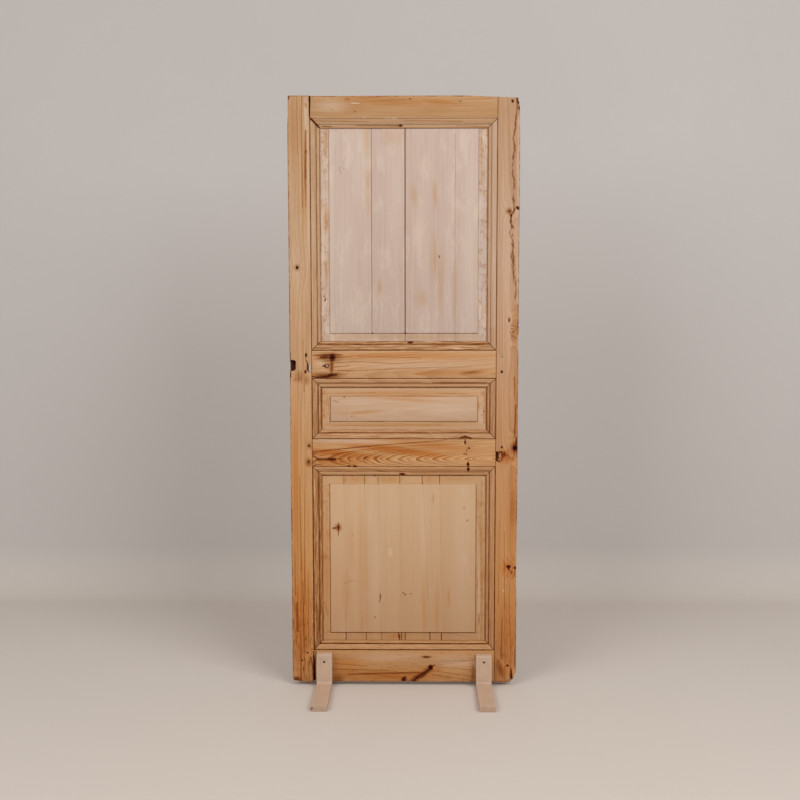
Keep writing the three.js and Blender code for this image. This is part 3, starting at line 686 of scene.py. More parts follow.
STILE_RIGHT_MARKS = {
    "dark": [
        dab(373, 2057, 4, 5, 0, 0.4, 0.9),
        dab(394, 2057, 6, 12, 20, 0.6, 0.9),
        dab(396, 2035, 2.5, 8, 0, 0.6, 0.7),
        dab(395.5, 1695, 7, 5.5, -15, 0.4, 1.0),
        dab(371, 1669, 3.4, 4.5, 10, 0.5, 0.8),
        dab(364, 1684, 3, 4, 0, 0.5, 0.8),
        dab(367, 1309, 3.2, 7, 0, 0.5, 0.7),
        dab(399, 1292, 3, 16, 0, 0.5, 0.85),
        dab(343, 1129, 4, 4.5, 0, 0.4, 0.9),
        dab(344, 863, 3.5, 4, 0, 0.4, 0.85),
        dab(391, 859, 7.5, 8.5, 0, 0.45, 0.95),
        stroke(328, 844, 328, 816, 3.4, 3.0, 0.4, 1.5),
        stroke(328, 816, 337, 812, 2.0, 1.4, 0.5, 0.8),
        dab(371, 435, 8, 5, 0, 0.35, 0.95),
        dab(371, 430, 4, 7, 0, 0.4, 0.9),
        dab(395, 431, 5.5, 4.5, 0, 0.5, 1.1),
        dab(370, 74, 4, 4, 0, 0.5, 0.8),
        stroke(383, 62, 385, 12, 1.8, 5.0, 0.5, 1.1),
    ],
    "brown": [
        dab(364, 1684, 9, 10, 0, 0.8, 0.55),
        stroke(390, 1702, 372, 1674, 2.5, 2.0, 0.6, 0.7),
        stroke(371, 1690, 370, 1646, 1.6, 3.0, 0.6, 0.6),
        dab(382, 1268, 4, 5, 0, 0.5, 0.6),
        dab(376, 1632, 2.6, 7, 25, 0.7, 0.8),
        dab(375, 1601, 2.4, 5, -20, 0.7, 0.6),
        dab(376, 1570, 2.6, 5, 25, 0.7, 0.8),
        stroke(378, 1546, 381, 1500, 1.6, 2.6, 0.8, 0.6),
        stroke(375, 1292, 390, 1286, 1.0, 1.3, 0.7, 0.6),
        stroke(374, 1280, 392, 1276, 1.0, 1.3, 0.7, 0.6),
        stroke(376, 1256, 390, 1246, 1.2, 1.0, 0.7, 0.55),
        stroke(372, 1268, 378, 1240, 1.2, 1.2, 0.7, 0.55),
        stroke(386, 1110, 388, 1040, 2.0, 1.2, 0.7, 0.45),
        stroke(392, 1010, 389, 900, 2.6, 2.2, 0.8, 0.6),
        dab(391, 861, 14, 17, 0, 0.8, 0.8),
        stroke(394, 872, 396, 898, 5.0, 1.5, 0.8, 1.2),
        stroke(330, 845, 343, 846, 2.6, 3.2, 0.6, 1.4),
        stroke(343, 846, 348, 832, 3.4, 3.2, 0.6, 1.5),
        stroke(348, 832, 343, 817, 3.0, 2.0, 0.6, 1.1),
        stroke(343, 817, 333, 811, 2.2, 2.0, 0.6, 1.0),
        dab(353, 838, 6, 8, 0, 0.8, 1.2),
        stroke(354, 836, 366, 832, 2.6, 1.4, 0.8, 0.9),
        stroke(366, 832, 377, 822, 1.4, 1.2, 0.8, 0.7),
        stroke(389, 846, 388, 832, 1.4, 1.2, 0.7, 0.7),
        stroke(388, 832, 379, 814, 1.2, 1.2, 0.7, 0.75),
        stroke(396, 845, 394, 828, 1.2, 1.2, 0.7, 0.6),
        stroke(394, 828, 384, 812, 1.2, 1.0, 0.7, 0.5),
        dab(383, 417, 3, 5, 30, 0.6, 0.7),
        stroke(372, 424, 384, 406, 1.4, 1.4, 0.6, 0.65),
        stroke(395, 428, 390, 400, 1.4, 1.0, 0.6, 0.6),
        dab(347, 101, 3, 3, 0, 0.6, 0.35),
        stroke(350, 250, 347, 110, 1.2, 2.4, 0.9, 0.4),
        dab(345, 60, 9, 26, 20, 0.9, 0.5),
        stroke(396, 130, 396, 70, 2.0, 1.5, 0.7, 0.6),
        stroke(338, 600, 336, 300, 1.0, 1.6, 0.9, 0.3),
        stroke(356, 560, 358, 280, 1.0, 1.6, 0.9, 0.3),
        stroke(383, 1530, 380, 1440, 1.6, 1.2, 0.8, 0.35),
        stroke(322.5, 2062, 322, 2006, 1.8, 1.4, 0.5, 0.8),
        stroke(320, 2002, 290, 1972, 2.0, 2.0, 0.5, 0.6),
    ],
    "amber": [
        dab(390, 1290, 10, 70, 0, 0.9, 0.3),
        dab(390, 960, 8, 160, 0, 0.9, 0.25),
        dab(386, 620, 14, 130, 0, 0.9, 0.25),
        dab(372, 430, 22, 30, 0, 0.9, 0.5),
        dab(354, 830, 26, 20, 0, 0.9, 0.7),
        dab(365, 180, 30, 140, 0, 0.9, 0.35),
    ],
    "pale": [
        # This stroke is painted highlight on the right moulding, which faces away from the brighter lamp
        stroke(311, 1290, 311, 1985, 9.0, 9.0, 0.9, 0.22),
        stroke(394, 1370, 394, 2000, 6.0, 6.0, 0.9, 0.25),
        dab(352, 1560, 22, 330, 0, 1.0, 0.2),
        dab(355, 347, 3, 4, 0, 0.6, 0.5),
    ],
}
STILE_RIGHT_KNOTS = [
    (364, 1684, 22, 26, 7.0),
    (396, 1280, 26, 40, 12.0),
    (391, 859, 26, 40, 9.0),
    (339, 830, 20, 30, 8.0),
    (371, 434, 24, 30, 8.0),
]
# The bark line near the hinge edge: height and place across
BARK_LINE = [
    (2060, 391),
    (2045, 390),
    (2006, 385),
    (1961, 382),
    (1927, 377),
    (1905, 381),
    (1860, 376),
    (1814, 375),
    (1780, 381),
    (1752, 377),
    (1712, 379),
    (1695, 381),
    (1672, 373),
    (1650, 370),
    (1627, 372),
    (1608, 365),
    (1574, 379),
    (1523, 374),
    (1477, 380),
    (1419, 389),
    (1380, 388),
]
# Flame grain beside it: centre, size, pitch and slope, in metres
FLAMES = [
    ((0.383, 0.0, 0.640), (0.011, 1.0, 0.075), 0.019, 2.4),
    ((0.386, 0.0, 1.268), (0.014, 1.0, 0.045), 0.010, -1.2),
    ((0.381, 0.0, 1.490), (0.008, 1.0, 0.060), 0.012, 2.0),
]

RAIL_MARKS = {
    "rail_top": {
        "dark": [
            dab(-10, 1977, 6, 3.5, 0, 0.5, 0.9),
            dab(-167, 2024, 2.5, 2, 0, 0.5, 0.6),
            stroke(-321, 2004, -292, 1972, 2.0, 3.0, 0.5, 0.9),
            dab(22, 2066, 3, 2, 0, 0.5, 0.5),
            dab(194, 2057, 3, 2, 0, 0.5, 0.5),
            stroke(-280, 1975, -246, 1973, 1.5, 1.0, 0.5, 0.6),
        ],
        "brown": [
            stroke(-165, 1978, -10, 1976, 1.2, 2.6, 0.6, 0.65),
            stroke(180, 1976, 288, 1971, 1.0, 1.2, 0.6, 0.4),
            stroke(0, 1993, 200, 1990, 1.0, 1.5, 0.8, 0.35),
            stroke(-310, 1993, -120, 1990, 1.5, 1.0, 0.8, 0.35),
            dab(-247, 2030, 3, 2, 0, 0.5, 0.3),
        ],
        "amber": [
            dab(-194, 2064, 12, 8, 20, 0.8, 0.5),
            dab(-190, 2045, 45, 22, 0, 0.9, 0.25),
            dab(-60, 2060, 110, 12, -3, 0.9, 0.35),
            dab(120, 2055, 60, 8, -4, 0.9, 0.35),
        ],
        "pale": [
            stroke(-178, 2052, -152, 2051, 2.0, 1.2, 0.4, 0.7),
            dab(-240, 2042, 50, 18, 0, 0.9, 0.35),
            dab(-136, 2002, 4, 2.4, 0, 0.6, 0.6),
            dab(-56, 2001, 10, 2.4, 0, 0.6, 0.6),
            dab(-33, 2000, 12, 2.6, 0, 0.6, 0.65),
            # These two long strokes are painted highlight: they lighten the shade in the head moulding's
            # step and quirk
            stroke(-285, 1982, 285, 1981, 2.6, 2.6, 0.8, 0.35),
            stroke(-300, 2002, 300, 2000, 2.0, 2.0, 0.8, 0.15),
        ],
    },
    "rail_lock": {
        "dark": [
            dab(-250, 1180, 9, 11, 0, 0.6, 1.1),
            stroke(-244, 1190, -212, 1187, 2.4, 0.8, 0.8, 0.5),
            stroke(-318, 1187, -256, 1189, 1.2, 2.4, 0.8, 0.6),
            stroke(-292, 1180, -270, 1182, 2.2, 2.0, 0.7, 0.8),
            stroke(-322, 1113, -302, 1108, 1.4, 2.4, 0.6, 0.9),
            stroke(-302, 1109, -262, 1112, 2.6, 3.0, 0.7, 0.7),
            stroke(-262, 1116, -236, 1119, 4.0, 2.4, 0.7, 0.8),
            dab(-271, 1149.5, 8.5, 5.5, 0, 0.3, 1.0),
            stroke(-287, 1149, -268, 1149, 0.8, 5.0, 0.5, 1.0),
            dab(23, 1231, 9, 3.6, 0, 0.5, 0.95),
            dab(5, 1263, 2, 3, 0, 0.5, 0.8),
        ],
        "brown": [
            dab(-262, 1180, 34, 12, 0, 0.9, 0.9),
            dab(-275, 1116, 42, 9, 0, 0.9, 0.9),
            stroke(-252, 1176, -254, 1118, 6.0, 5.0, 0.9, 1.0),
            dab(-262, 1150, 14, 12, 0, 0.9, 0.4),
            stroke(-248, 1160, -170, 1166, 1.6, 0.8, 0.7, 0.6),
            stroke(-248, 1146, -190, 1150, 1.4, 0.8, 0.7, 0.55),
            stroke(-248, 1134, -180, 1133, 1.5, 0.8, 0.7, 0.55),
            stroke(-248, 1124, -200, 1119, 1.8, 0.8, 0.7, 0.55),
            stroke(-244, 1176, -180, 1181, 1.4, 0.7, 0.7, 0.5),
            stroke(-190, 1166, -40, 1158, 1.0, 1.4, 0.8, 0.4),
            stroke(-40, 1158, 130, 1164, 1.4, 0.8, 0.8, 0.35),
            stroke(-200, 1131, 20, 1142, 1.0, 1.5, 0.8, 0.35),
            stroke(20, 1142, 240, 1146, 1.5, 0.7, 0.8, 0.3),
            stroke(-160, 1183, 60, 1178, 0.8, 1.2, 0.8, 0.3),
            dab(235, 1127, 30, 5, 0, 0.9, 0.35),
            stroke(100, 1090, 288, 1090, 2.0, 2.6, 0.8, 0.6),
            stroke(-300, 1090, 60, 1091, 1.8, 1.0, 0.8, 0.4),
        ],
        "amber": [
            dab(0, 1185, 260, 9, 0, 0.9, 0.35),
            dab(150, 1128, 130, 12, 0, 0.9, 0.3),
            dab(0, 1090, 300, 9, 0, 0.8, 0.12),
        ],
        "pale": [
            dab(-290, 1160, 18, 10, 0, 0.9, 0.25),
            dab(80, 1150, 180, 14, 0, 0.9, 0.22),
        ],
    },
    "rail_middle": {
        "dark": [
            stroke(-320, 831, -303, 821, 1.6, 2.0, 0.6, 0.7),
            stroke(-320, 810, -303, 820, 1.6, 2.0, 0.6, 0.6),
            stroke(-320, 797, -290, 803, 1.2, 0.8, 0.7, 0.4),
            stroke(-296, 819, -240, 820, 3.4, 2.4, 0.9, 0.15),
            dab(215, 881, 2.8, 5.5, 0, 0.5, 0.9),
            dab(229, 859, 3, 3, 0, 0.4, 0.8),
            dab(221, 852, 2.2, 2.2, 0, 0.4, 0.8),
            dab(212, 839, 2.2, 3.6, 0, 0.4, 0.55),
            dab(219, 839, 2.2, 3.6, 0, 0.4, 0.55),
            dab(226, 802, 4.4, 7.5, 0, 0.4, 1.1),
            dab(227, 785, 4.6, 6.5, 0, 0.4, 1.1),
            stroke(226, 790, 227, 776, 1.6, 1.6, 0.5, 0.8),
            dab(-194, 795, 6, 3, 0, 0.5, 1.1),
            dab(-173, 795, 6.5, 3, 0, 0.5, 1.0),
            stroke(196, 896, 216, 900, 1.0, 4.0, 0.5, 0.85),
            stroke(216, 900, 238, 895, 4.0, 1.2, 0.5, 0.8),
            dab(-6, 766, 10, 3.4, 0, 0.5, 1.1),
        ],
        "brown": [
            stroke(-300, 819, -242, 820, 5.0, 4.6, 0.8, 1.15),
            stroke(-246, 820, -215, 822, 2.8, 0.8, 0.7, 0.5),
            dab(-320, 840, 8, 9, 0, 0.9, 0.45),
            stroke(-323, 846, -112, 867, 1.6, 1.4, 0.7, 0.9),
            stroke(-112, 867, 150, 889, 1.4, 1.1, 0.8, 0.75),
            stroke(-187, 832, -197, 823, 1.0, 1.8, 0.7, 0.9),
            stroke(-197, 823, -190, 810, 1.8, 1.0, 0.7, 0.9),
            stroke(-129, 829, -143, 822, 1.0, 1.8, 0.7, 0.8),
            stroke(-143, 822, -138, 808, 1.8, 1.0, 0.7, 0.8),
            stroke(-84, 835, -99, 821, 1.0, 1.4, 0.7, 0.6),
            stroke(-99, 821, -88, 806, 1.4, 1.0, 0.7, 0.6),
            stroke(-322, 829, -180, 847, 1.6, 1.0, 0.8, 0.3),
            stroke(216, 893, 216, 874, 2.0, 3.0, 0.6, 0.5),
            stroke(-320, 782, 260, 781, 2.0, 2.0, 0.8, 0.3),
            stroke(20, 771, 288, 770, 1.4, 1.4, 0.8, 0.45),
            dab(270, 781, 40, 3, 0, 0.8, 0.3),
        ],
        "amber": [
            dab(-220, 838, 120, 12, -5, 0.8, 0.9),
            dab(-30, 853, 150, 13, -7, 0.8, 0.8),
            dab(110, 868, 110, 12, -5, 0.9, 0.4),
            dab(-240, 812, 90, 14, 0, 0.9, 0.5),
            dab(40, 845, 130, 16, -4, 0.9, 0.25),
            dab(0, 781, 300, 9, 0, 0.8, 0.1),
        ],
        "pale": [
            dab(-200, 884, 120, 8, -2, 0.8, 0.35),
            dab(60, 905, 250, 5, 0, 0.8, 0.12),
        ],
    },
    "rail_bottom": {
        "dark": [
            dab(95, 67, 8, 8, 0, 0.45, 1.2),
            stroke(101, 69, 110, 76, 3.2, 1.2, 0.6, 0.8),
            stroke(92, 62, 32, 17, 1.5, 2.6, 0.6, 0.8),
            stroke(92, 60, 62, 28, 3.0, 1.2, 0.6, 0.6),
            dab(80, 105, 11, 2.4, 0, 0.5, 0.65),
            dab(-1, 22, 7, 9, -25, 0.6, 1.1),
            stroke(4, 34, -8, 14, 1.6, 3.0, 0.6, 0.7),
            stroke(-316, 128, -322, 16, 1.6, 3.5, 0.6, 0.6),
        ],
        "brown": [
            stroke(94, 62, 34, 20, 8.0, 9.0, 0.8, 1.0),
            dab(80, 105, 15, 5, 0, 0.8, 0.5),
            stroke(-200, 40, 80, 48, 2.4, 3.0, 0.9, 0.6),
            stroke(-260, 60, -60, 55, 1.6, 1.4, 0.9, 0.4),
            stroke(-250, 80, -130, 70, 1.2, 1.2, 0.9, 0.35),
            stroke(110, 70, 290, 52, 1.2, 1.6, 0.9, 0.35),
            stroke(120, 52, 300, 26, 1.2, 2.0, 0.9, 0.4),
            stroke(130, 88, 255, 94, 1.0, 1.0, 0.9, 0.25),
            stroke(100, 40, 250, 18, 1.6, 2.4, 0.9, 0.45),
            dab(-240, 25, 20, 10, 0, 0.9, 0.5),
            dab(247, 40, 6, 30, 0, 0.8, 0.45),
        ],
        "amber": [
            dab(-50, 36, 150, 17, 0, 0.8, 0.5),
            dab(-210, 45, 60, 22, 0, 0.9, 0.35),
            dab(70, 45, 60, 18, 20, 0.8, 0.5),
            dab(-220, 85, 70, 18, 0, 0.9, 0.35),
        ],
        "pale": [
            dab(190, 88, 90, 22, 0, 0.9, 0.25),
            dab(-60, 104, 130, 16, 0, 0.9, 0.2),
        ],
    },
}
RAIL_KNOTS = {
    "rail_top": [(-194, 2064, 30, 14, 5.0)],
    "rail_lock": [],
    "rail_middle": [(216, 905, 34, 20, 7.0)],
    "rail_bottom": [(95, 66, 50, 24, 12.0), (80, 105, 30, 10, 5.0)],
}

TOP_PANEL_MARKS = {
    "dark": [
        dab(123, 1529, 1.8, 5, 0, 0.5, 0.6),
        dab(-275, 1380, 2.4, 6, -15, 0.5, 0.75),
        dab(-110, 1264, 2.2, 3, 0, 0.5, 0.6),
        dab(5, 1264, 2.4, 3, 0, 0.5, 0.8),
        dab(-279, 1392, 2, 2, 0, 0.5, 0.5),
    ],
    "brown": [
        stroke(-223, 1836, -216, 1812, 0.8, 1.2, 0.7, 0.35),
        stroke(-224, 1838, -198, 1828, 0.8, 0.8, 0.7, 0.3),
        stroke(-212, 1842, -197, 1878, 0.8, 0.8, 0.7, 0.25),
        stroke(268, 1940, 270, 1800, 1.4, 1.0, 0.9, 0.3),
        stroke(178, 1950, 177, 1264, 0.8, 1.4, 0.8, 0.25),
    ],
    "amber": [
        stroke(5, 1968, 5, 1264, 1.8, 1.8, 0.6, 1.0),
        stroke(-111, 1968, -111, 1264, 1.4, 1.6, 0.6, 0.4),
        dab(35, 1740, 9, 30, 6, 0.95, 0.3),
        dab(108, 1745, 8, 36, 0, 0.95, 0.28),
        dab(-130, 1940, 10, 50, 0, 0.95, 0.28),
        dab(-124, 1765, 9, 70, 0, 0.95, 0.2),
        dab(-84, 1420, 7, 24, 0, 0.95, 0.25),
        dab(-270, 1655, 9, 34, 0, 0.95, 0.4),
        dab(-268, 1930, 5, 60, 0, 0.8, 0.35),
        dab(270, 1870, 10, 90, 0, 0.9, 0.25),
        dab(-40, 1940, 30, 30, 0, 1.0, 0.15),
        dab(105, 1520, 10, 60, 0, 0.9, 0.25),
        dab(130, 1450, 8, 90, 0, 0.9, 0.25),
        dab(180, 1420, 6, 110, 0, 1.0, 0.15),
        dab(60, 1385, 20, 24, 0, 1.0, 0.15),
        dab(-270, 1470, 5, 30, 0, 0.8, 0.45),
        dab(0, 1250, 280, 7, 0, 0.8, 0.2),
    ],
    "pale": [
        dab(-250, 1600, 10, 260, 0, 0.9, 0.4),
        dab(-210, 1500, 30, 200, 0, 1.0, 0.25),
        dab(230, 1560, 22, 240, 0, 1.0, 0.35),
        dab(-160, 1850, 20, 110, 0, 1.0, 0.2),
        dab(-30, 1750, 20, 160, 0, 1.0, 0.25),
        dab(60, 1620, 20, 120, 0, 1.0, 0.2),
        dab(262, 1700, 6, 30, 0, 0.8, 0.5),
        dab(-282, 1600, 6, 150, 0, 0.9, 0.4),
    ],
}
MIDDLE_PANEL_MARKS = {
    "dark": [
        dab(-210, 1039, 2.2, 1.8, 0, 0.5, 0.6),
        dab(-184, 972, 2.2, 1.8, 0, 0.5, 0.55),
        dab(281, 989, 2.2, 2.5, 0, 0.5, 0.7),
        stroke(-248, 1027, -228, 1020, 1.4, 0.8, 0.5, 0.35),
    ],
    "brown": [
        stroke(-286, 1052, -100, 1054, 1.0, 0.8, 0.8, 0.3),
        stroke(-258, 938, 140, 940, 1.0, 1.2, 0.8, 0.3),
        stroke(120, 1052, 230, 1050, 1.0, 1.0, 0.8, 0.3),
        stroke(100, 948, 258, 950, 1.2, 1.0, 0.8, 0.35),
        stroke(-268, 1045, -262, 945, 1.0, 1.2, 0.8, 0.35),
    ],
    "amber": [
        dab(0, 1052, 200, 8, 0, 0.9, 0.3),
        dab(40, 1048, 70, 7, 0, 0.9, 0.4),
        dab(-30, 940, 240, 7, 0, 0.9, 0.35),
        dab(-150, 985, 60, 5, 4, 0.9, 0.3),
        dab(20, 1030, 120, 6, -4, 0.9, 0.25),
        dab(-276, 1000, 8, 50, 0, 0.9, 0.2),
    ],
    "pale": [
        dab(-160, 1020, 70, 10, 0, 1.0, 0.15),
        dab(150, 1000, 100, 22, 0, 1.0, 0.2),
        dab(272, 985, 8, 34, 0, 0.9, 0.25),
    ],
}
TOP_JOINTS = [
    (-213, -213, 1.1, 0.8),
    (-140, -140, 1.1, 0.8),
    (-92, -92, 1.1, 0.75),
    (-15, -15, 1.1, 0.8),
    (64, 65, 1.3, 0.85),
    (125, 126, 1.2, 0.8),
]
LOW_JOINTS = [
    (-208, -209, 1.4, 1.1),
    (-136, -136, 1.2, 1.0),
    (-80, -80, 1.0, 0.5),
    (-10, -9.5, 1.6, 1.2),
    (4, 4, 1.4, 1.0),
    (92, 93, 1.6, 1.2),
    (133, 134, 1.6, 1.2),
]
BOTTOM_PANEL_MARKS = {
    "dark": [
        dab(-233.5, 573.5, 5.5, 6.5, 0, 0.5, 0.5),
        stroke(-233.5, 574, -233.5, 541, 3.4, 0.5, 0.5, 0.5),
        stroke(-233.5, 574, -233, 592, 3.0, 0.5, 0.5, 0.65),
        dab(-247, 571, 3.5, 3, 0, 0.5, 0.6),
        stroke(-86, 336, -84, 322, 0.8, 2.4, 0.5, 0.7),
        stroke(-84, 322, -88, 302, 2.4, 0.6, 0.5, 0.75),
        dab(-104, 248, 2.2, 2.6, 0, 0.5, 0.7),
        dab(-3, 337, 2.4, 1.8, 0, 0.5, 0.6),
        dab(4, 331, 3.4, 2.2, -15, 0.5, 0.75),
        dab(24, 334, 2.4, 2.2, 0, 0.5, 0.6),
        dab(225, 600, 2, 3, 0, 0.5, 0.6),
        dab(213, 645, 1.8, 3, 0, 0.5, 0.45),
        dab(-18, 177, 3.5, 7, 0, 0.5, 0.75),
        stroke(-20, 190, -16, 165, 1.4, 2.2, 0.5, 0.7),
        dab(-104, 760, 4, 2.5, 0, 0.5, 0.7),
        dab(268, 240, 1.6, 20, 0, 0.6, 0.4),
    ],
    "brown": [
        dab(-233.5, 573.5, 10, 11, 0, 0.8, 0.6),
        stroke(-250, 571, -232, 574, 4.0, 2.0, 0.6, 0.6),
        stroke(-256, 568, -244, 571, 1.0, 2.2, 0.6, 0.5),
        dab(-184, 545, 1.6, 6, -20, 0.6, 0.4),
        stroke(-48, 492, -44, 482, 0.8, 0.8, 0.6, 0.35),
        stroke(-205, 377, -180, 382, 1.0, 1.0, 0.7, 0.3),
        stroke(-215, 369, -205, 377, 1.0, 1.0, 0.7, 0.3),
        dab(104, 680, 2.5, 16, 0, 0.8, 0.25),
        *joint_lines(762, 730, TOP_JOINTS),
        *joint_lines(190, 162, LOW_JOINTS),
        stroke(160, 190, 240, 172, 0.8, 0.8, 0.8, 0.25),
    ],
    "amber": [
        dab(-176, 746, 36, 12, 0, 0.9, 0.3),
        dab(95, 746, 30, 12, 0, 0.9, 0.25),
        dab(-50, 746, 34, 11, 0, 0.8, 0.35),
        dab(190, 748, 55, 8, 0, 0.9, 0.25),
        dab(-190, 520, 10, 70, 0, 1.0, 0.15),
        dab(-150, 470, 14, 160, 0, 1.0, 0.15),
        dab(72, 300, 7, 120, 0, 1.0, 0.18),
        dab(118, 260, 8, 90, 0, 1.0, 0.2),
        dab(160, 320, 4, 26, 0, 0.9, 0.25),
        dab(-150, 230, 6, 60, 0, 1.0, 0.18),
        dab(-206, 340, 14, 60, 0, 1.0, 0.15),
        dab(-30, 176, 30, 10, 0, 0.9, 0.35),
        dab(-276, 460, 9, 240, 0, 0.8, 0.25),
        dab(274, 400, 6, 260, 0, 0.8, 0.35),
    ],
    "pale": [
        dab(-120, 620, 14, 90, 0, 1.0, 0.12),
        dab(-48, 485, 6, 12, 0, 0.8, 0.45),
        dab(-100, 400, 18, 160, 0, 1.0, 0.18),
        dab(70, 560, 12, 160, 0, 1.0, 0.14),
        dab(205, 430, 30, 260, 0, 1.0, 0.15),
        dab(268, 330, 4, 140, 0, 0.8, 0.35),
    ],
}
BOTTOM_PANEL_KNOTS = [(-233.5, 573.5, 24, 50, 8.0), (-86, 319, 10, 40, 3.0)]

# Values of the finishes

RAGGED_SCALE = 150.0
RAGGED_AMOUNT = 0.0042
PEG_GREASE = (0.03, 0.02, 0.014)
RUBBED_STEEL = (0.16, 0.15, 0.14)
SCREW_DUST = linear(150, 128, 108)
WORN_PAINT = linear(206, 180, 158)
FOOT_END_DIRT = linear(182, 154, 132)
LOW_FOOT_TINT = linear(247, 243, 243)
# A foot that reaches below this Y stands in front of the door
FRONT_FOOT_REACH = -0.1
# Chips in the paint of a foot: x, y, z and radius in millimetres, and strength
FOOT_CHIPS = {"front_left": [(-309.0, -283.0, 11.0, 4.5, 1.0)]}

# Filler strips: how far beside the board's edge, and how much shorter than it, in metres
FILLER_ASIDE = 0.00025
FILLER_END_GAP = 0.003
# Screw recess: reach of the cross in widths of its arm, and its depth in metres
RECESS_REACH = 2.1
RECESS_DEPTH = 0.0022

# The studio, in metres and degrees
SWEEP_WIDTH = 16.0
SWEEP_LENGTH = 10.0
SWEEP_MIDDLE = -3.7
SWEEP_HEIGHT = 6.0
SWEEP_BEND = 0.22
LAMPS = [("left_lamp", (-2.6, -3.4, 3.3), 82.0), ("right_lamp", (2.5, -3.2, 3.5), 108.0)]
LAMP_TARGET = (0.0, 0.0, 0.6)
SKY_COLOUR = (1.0, 0.98, 0.96)
CAMERA_PLACE = (0.0434, -4.0939, 1.4174)
CAMERA_TURN = (84.5671, 0.0719, 0.7941)
CAMERA_LENS = 52.515
SENSOR_WIDTH = 36.0


# Building one material


def new_material(name):
    """An empty material with its shader; returns it, its wiring, its shader and its places"""
    material = bpy.data.materials.new(name)
    material.use_nodes = True
    material.node_tree.nodes.clear()
    wire = Wiring(material.node_tree)
    shader = wire.add("BsdfPrincipled")
    wire.add("OutputMaterial", {"Surface": shader.outputs["BSDF"]})
    return material, wire, shader, wire.add("TexCoord").outputs["Object"]


def set_surface(wire, shader, colour, rough, bumps, strength, height, specular=0.5, metallic=0.0):
    """Joins colour, roughness and bumps of a given height to the shader"""
    bump = wire.add("Bump", {"Strength": strength, "Distance": height, "Height": bumps})
    values = {"Base Color": colour, "Roughness": rough, "Normal": bump.outputs["Normal"]}
    values.update({"Specular IOR Level": specular, "Metallic": metallic})
    for name, value in values.items():
        wire.feed(shader.inputs[name], value)


def mark_mask(wire, place, marks):
    """The greatest of all the marks at a place, as one mask"""
    masks = [wire.effect(mark["effect"], Vector=place, **mark["inputs"]) for mark in marks]
    return wire.most(*[mask["Mask"] for mask in masks])


def knot_push(wire, place, knots):
    """How far the knots push the year rings aside"""
    swells = []
    for x, z, width, height, push in knots:
        inputs = {"Place": face_place(x, z), "Size": (width * MM, 1.0, height * MM)}
        inputs.update({"Softness": 0.95, "Strength": push * MM})
        swells.append(wire.effect("dab", Vector=place, **inputs)["Mask"])
    return wire.plus(*swells) if swells else 0.0


def wood_figure(wire, place, log, knots, ring_width, wander=0.02):
    """The figure of a log, with its places; its pith runs along X through a point, then is turned"""
    pith, turn = log
    inputs = {"Vector": place, "Location": [value * MM for value in pith]}
    inputs["Rotation"] = [math.radians(angle) for angle in turn]
    wood_place = wire.add("Mapping", inputs, vector_type="TEXTURE").outputs["Vector"]
    inputs = {"Vector": wood_place, "Ring Width": ring_width, "Wander": wander}
    return wood_place, wire.effect("figure", **inputs, Push=knot_push(wire, place, knots))


def wood_colour(wire, tone, figure, contrast, streaks):
    """The colour of bare wood with a given tone and figure"""
    stain = tuple(bpy.context.scene.door_colours.wood_stain)
    inputs = {name: figure[name] for name in ("Late Wood", "Streak", "Fibre", "Cloud")}
    inputs.update({"Tone": tone, "Filter": stain, "Figure": contrast, "Streakiness": streaks})
    return wire.effect("pine", **inputs)["Color"]


def front_only(wire, place):
    """A mask that is 1 on the show face and fades out within the wood"""
    return wire.fade(wire.split(place)["Y"], -0.004, 0.0)


def stained(wire, colour, tint, depth):
    return wire.effect("stain", Color=colour, Filter=tuple(tint), Depth=depth)["Color"]


def apply_marks(wire, colour, rough_place, place, marks, grain):
    """Lays the stains, dirt, chalk and black marks over the wood, some of which are painted highlight or
    painted shade; also returns the dark mask
    """
    colours = bpy.context.scene.door_colours
    front = front_only(wire, place)
    broken = wire.times(front, wire.spread(grain, 0.35, 0.65, 0.55, 1.35))
    masks = {kind: mark_mask(wire, rough_place, group) for kind, group in marks.items() if group}
    dark = 0.0
    if "amber" in masks:
        colour = stained(wire, colour, colours.resin, wire.times(masks["amber"], broken))
    if "pale" in masks:
        colour = wire.blend(wire.times(masks["pale"], front), colour, tuple(colours.chalk))
    if "brown" in masks:
        colour = stained(wire, colour, colours.dirt_and_shade, wire.times(masks["brown"], broken))
    if "dark" in masks:
        dark = wire.times(masks["dark"], front)
        colour = stained(wire, colour, colours.soot_and_shade, dark)
    return colour, dark


def finish_wood(wire, shader, colour, height, dark, smoothest, roughest):
    """Joins colour, roughness and raised grain to the shader; dark places are rough and sunk"""
    rough = wire.spread(height, 0.1, 0.8, roughest, smoothest)
    rough = wire.calc("MAXIMUM", rough, wire.times(dark, 0.85), clamp=True)
    sunk = wire.minus(height, wire.times(dark, 0.8))
    relief = bpy.context.scene.door_sizes.grain_relief
    set_surface(wire, shader, colour, rough, sunk, 0.7, relief, specular=0.15)


def openings():
    """The three panel openings of the frame, as lowest and highest corners, head first"""
    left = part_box("stile_left")[1].x
    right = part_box("stile_right")[0].x
    found = []
    for above, below in zip(RAILS, RAILS[1:]):
        low = (left, 0.0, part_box(below)[1].z)
        high = (right, 0.0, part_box(above)[0].z)
        found.append((low, high))
    return found


def moulding_dirt_and_shade(wire, place, node):
    """For each moulding of a member: the dirt and painted shade in its lines, its place, and its streaks
    of dirt and painted shade
    """
    width = bpy.context.scene.door_sizes.dirt_and_shade_width
    dirt, zones, streaky = [], [], []
    for (low, high), depths in zip(openings(), MOULDING_DIRT_AND_SHADE[node]):
        if depths:
            quirk, step, edge, streaks = depths
            inputs = {"Vector": place, "Low": low, "High": high, "Line Width": width}
            lines = wire.effect("moulding", **inputs, Quirk=quirk, Step=step, Edge=edge)
            dirt.append(lines["Dirt"])
            zones.append(lines["Moulding"])
            streaky.append(wire.times(lines["Moulding"], streaks))
    return dirt, zones, streaky


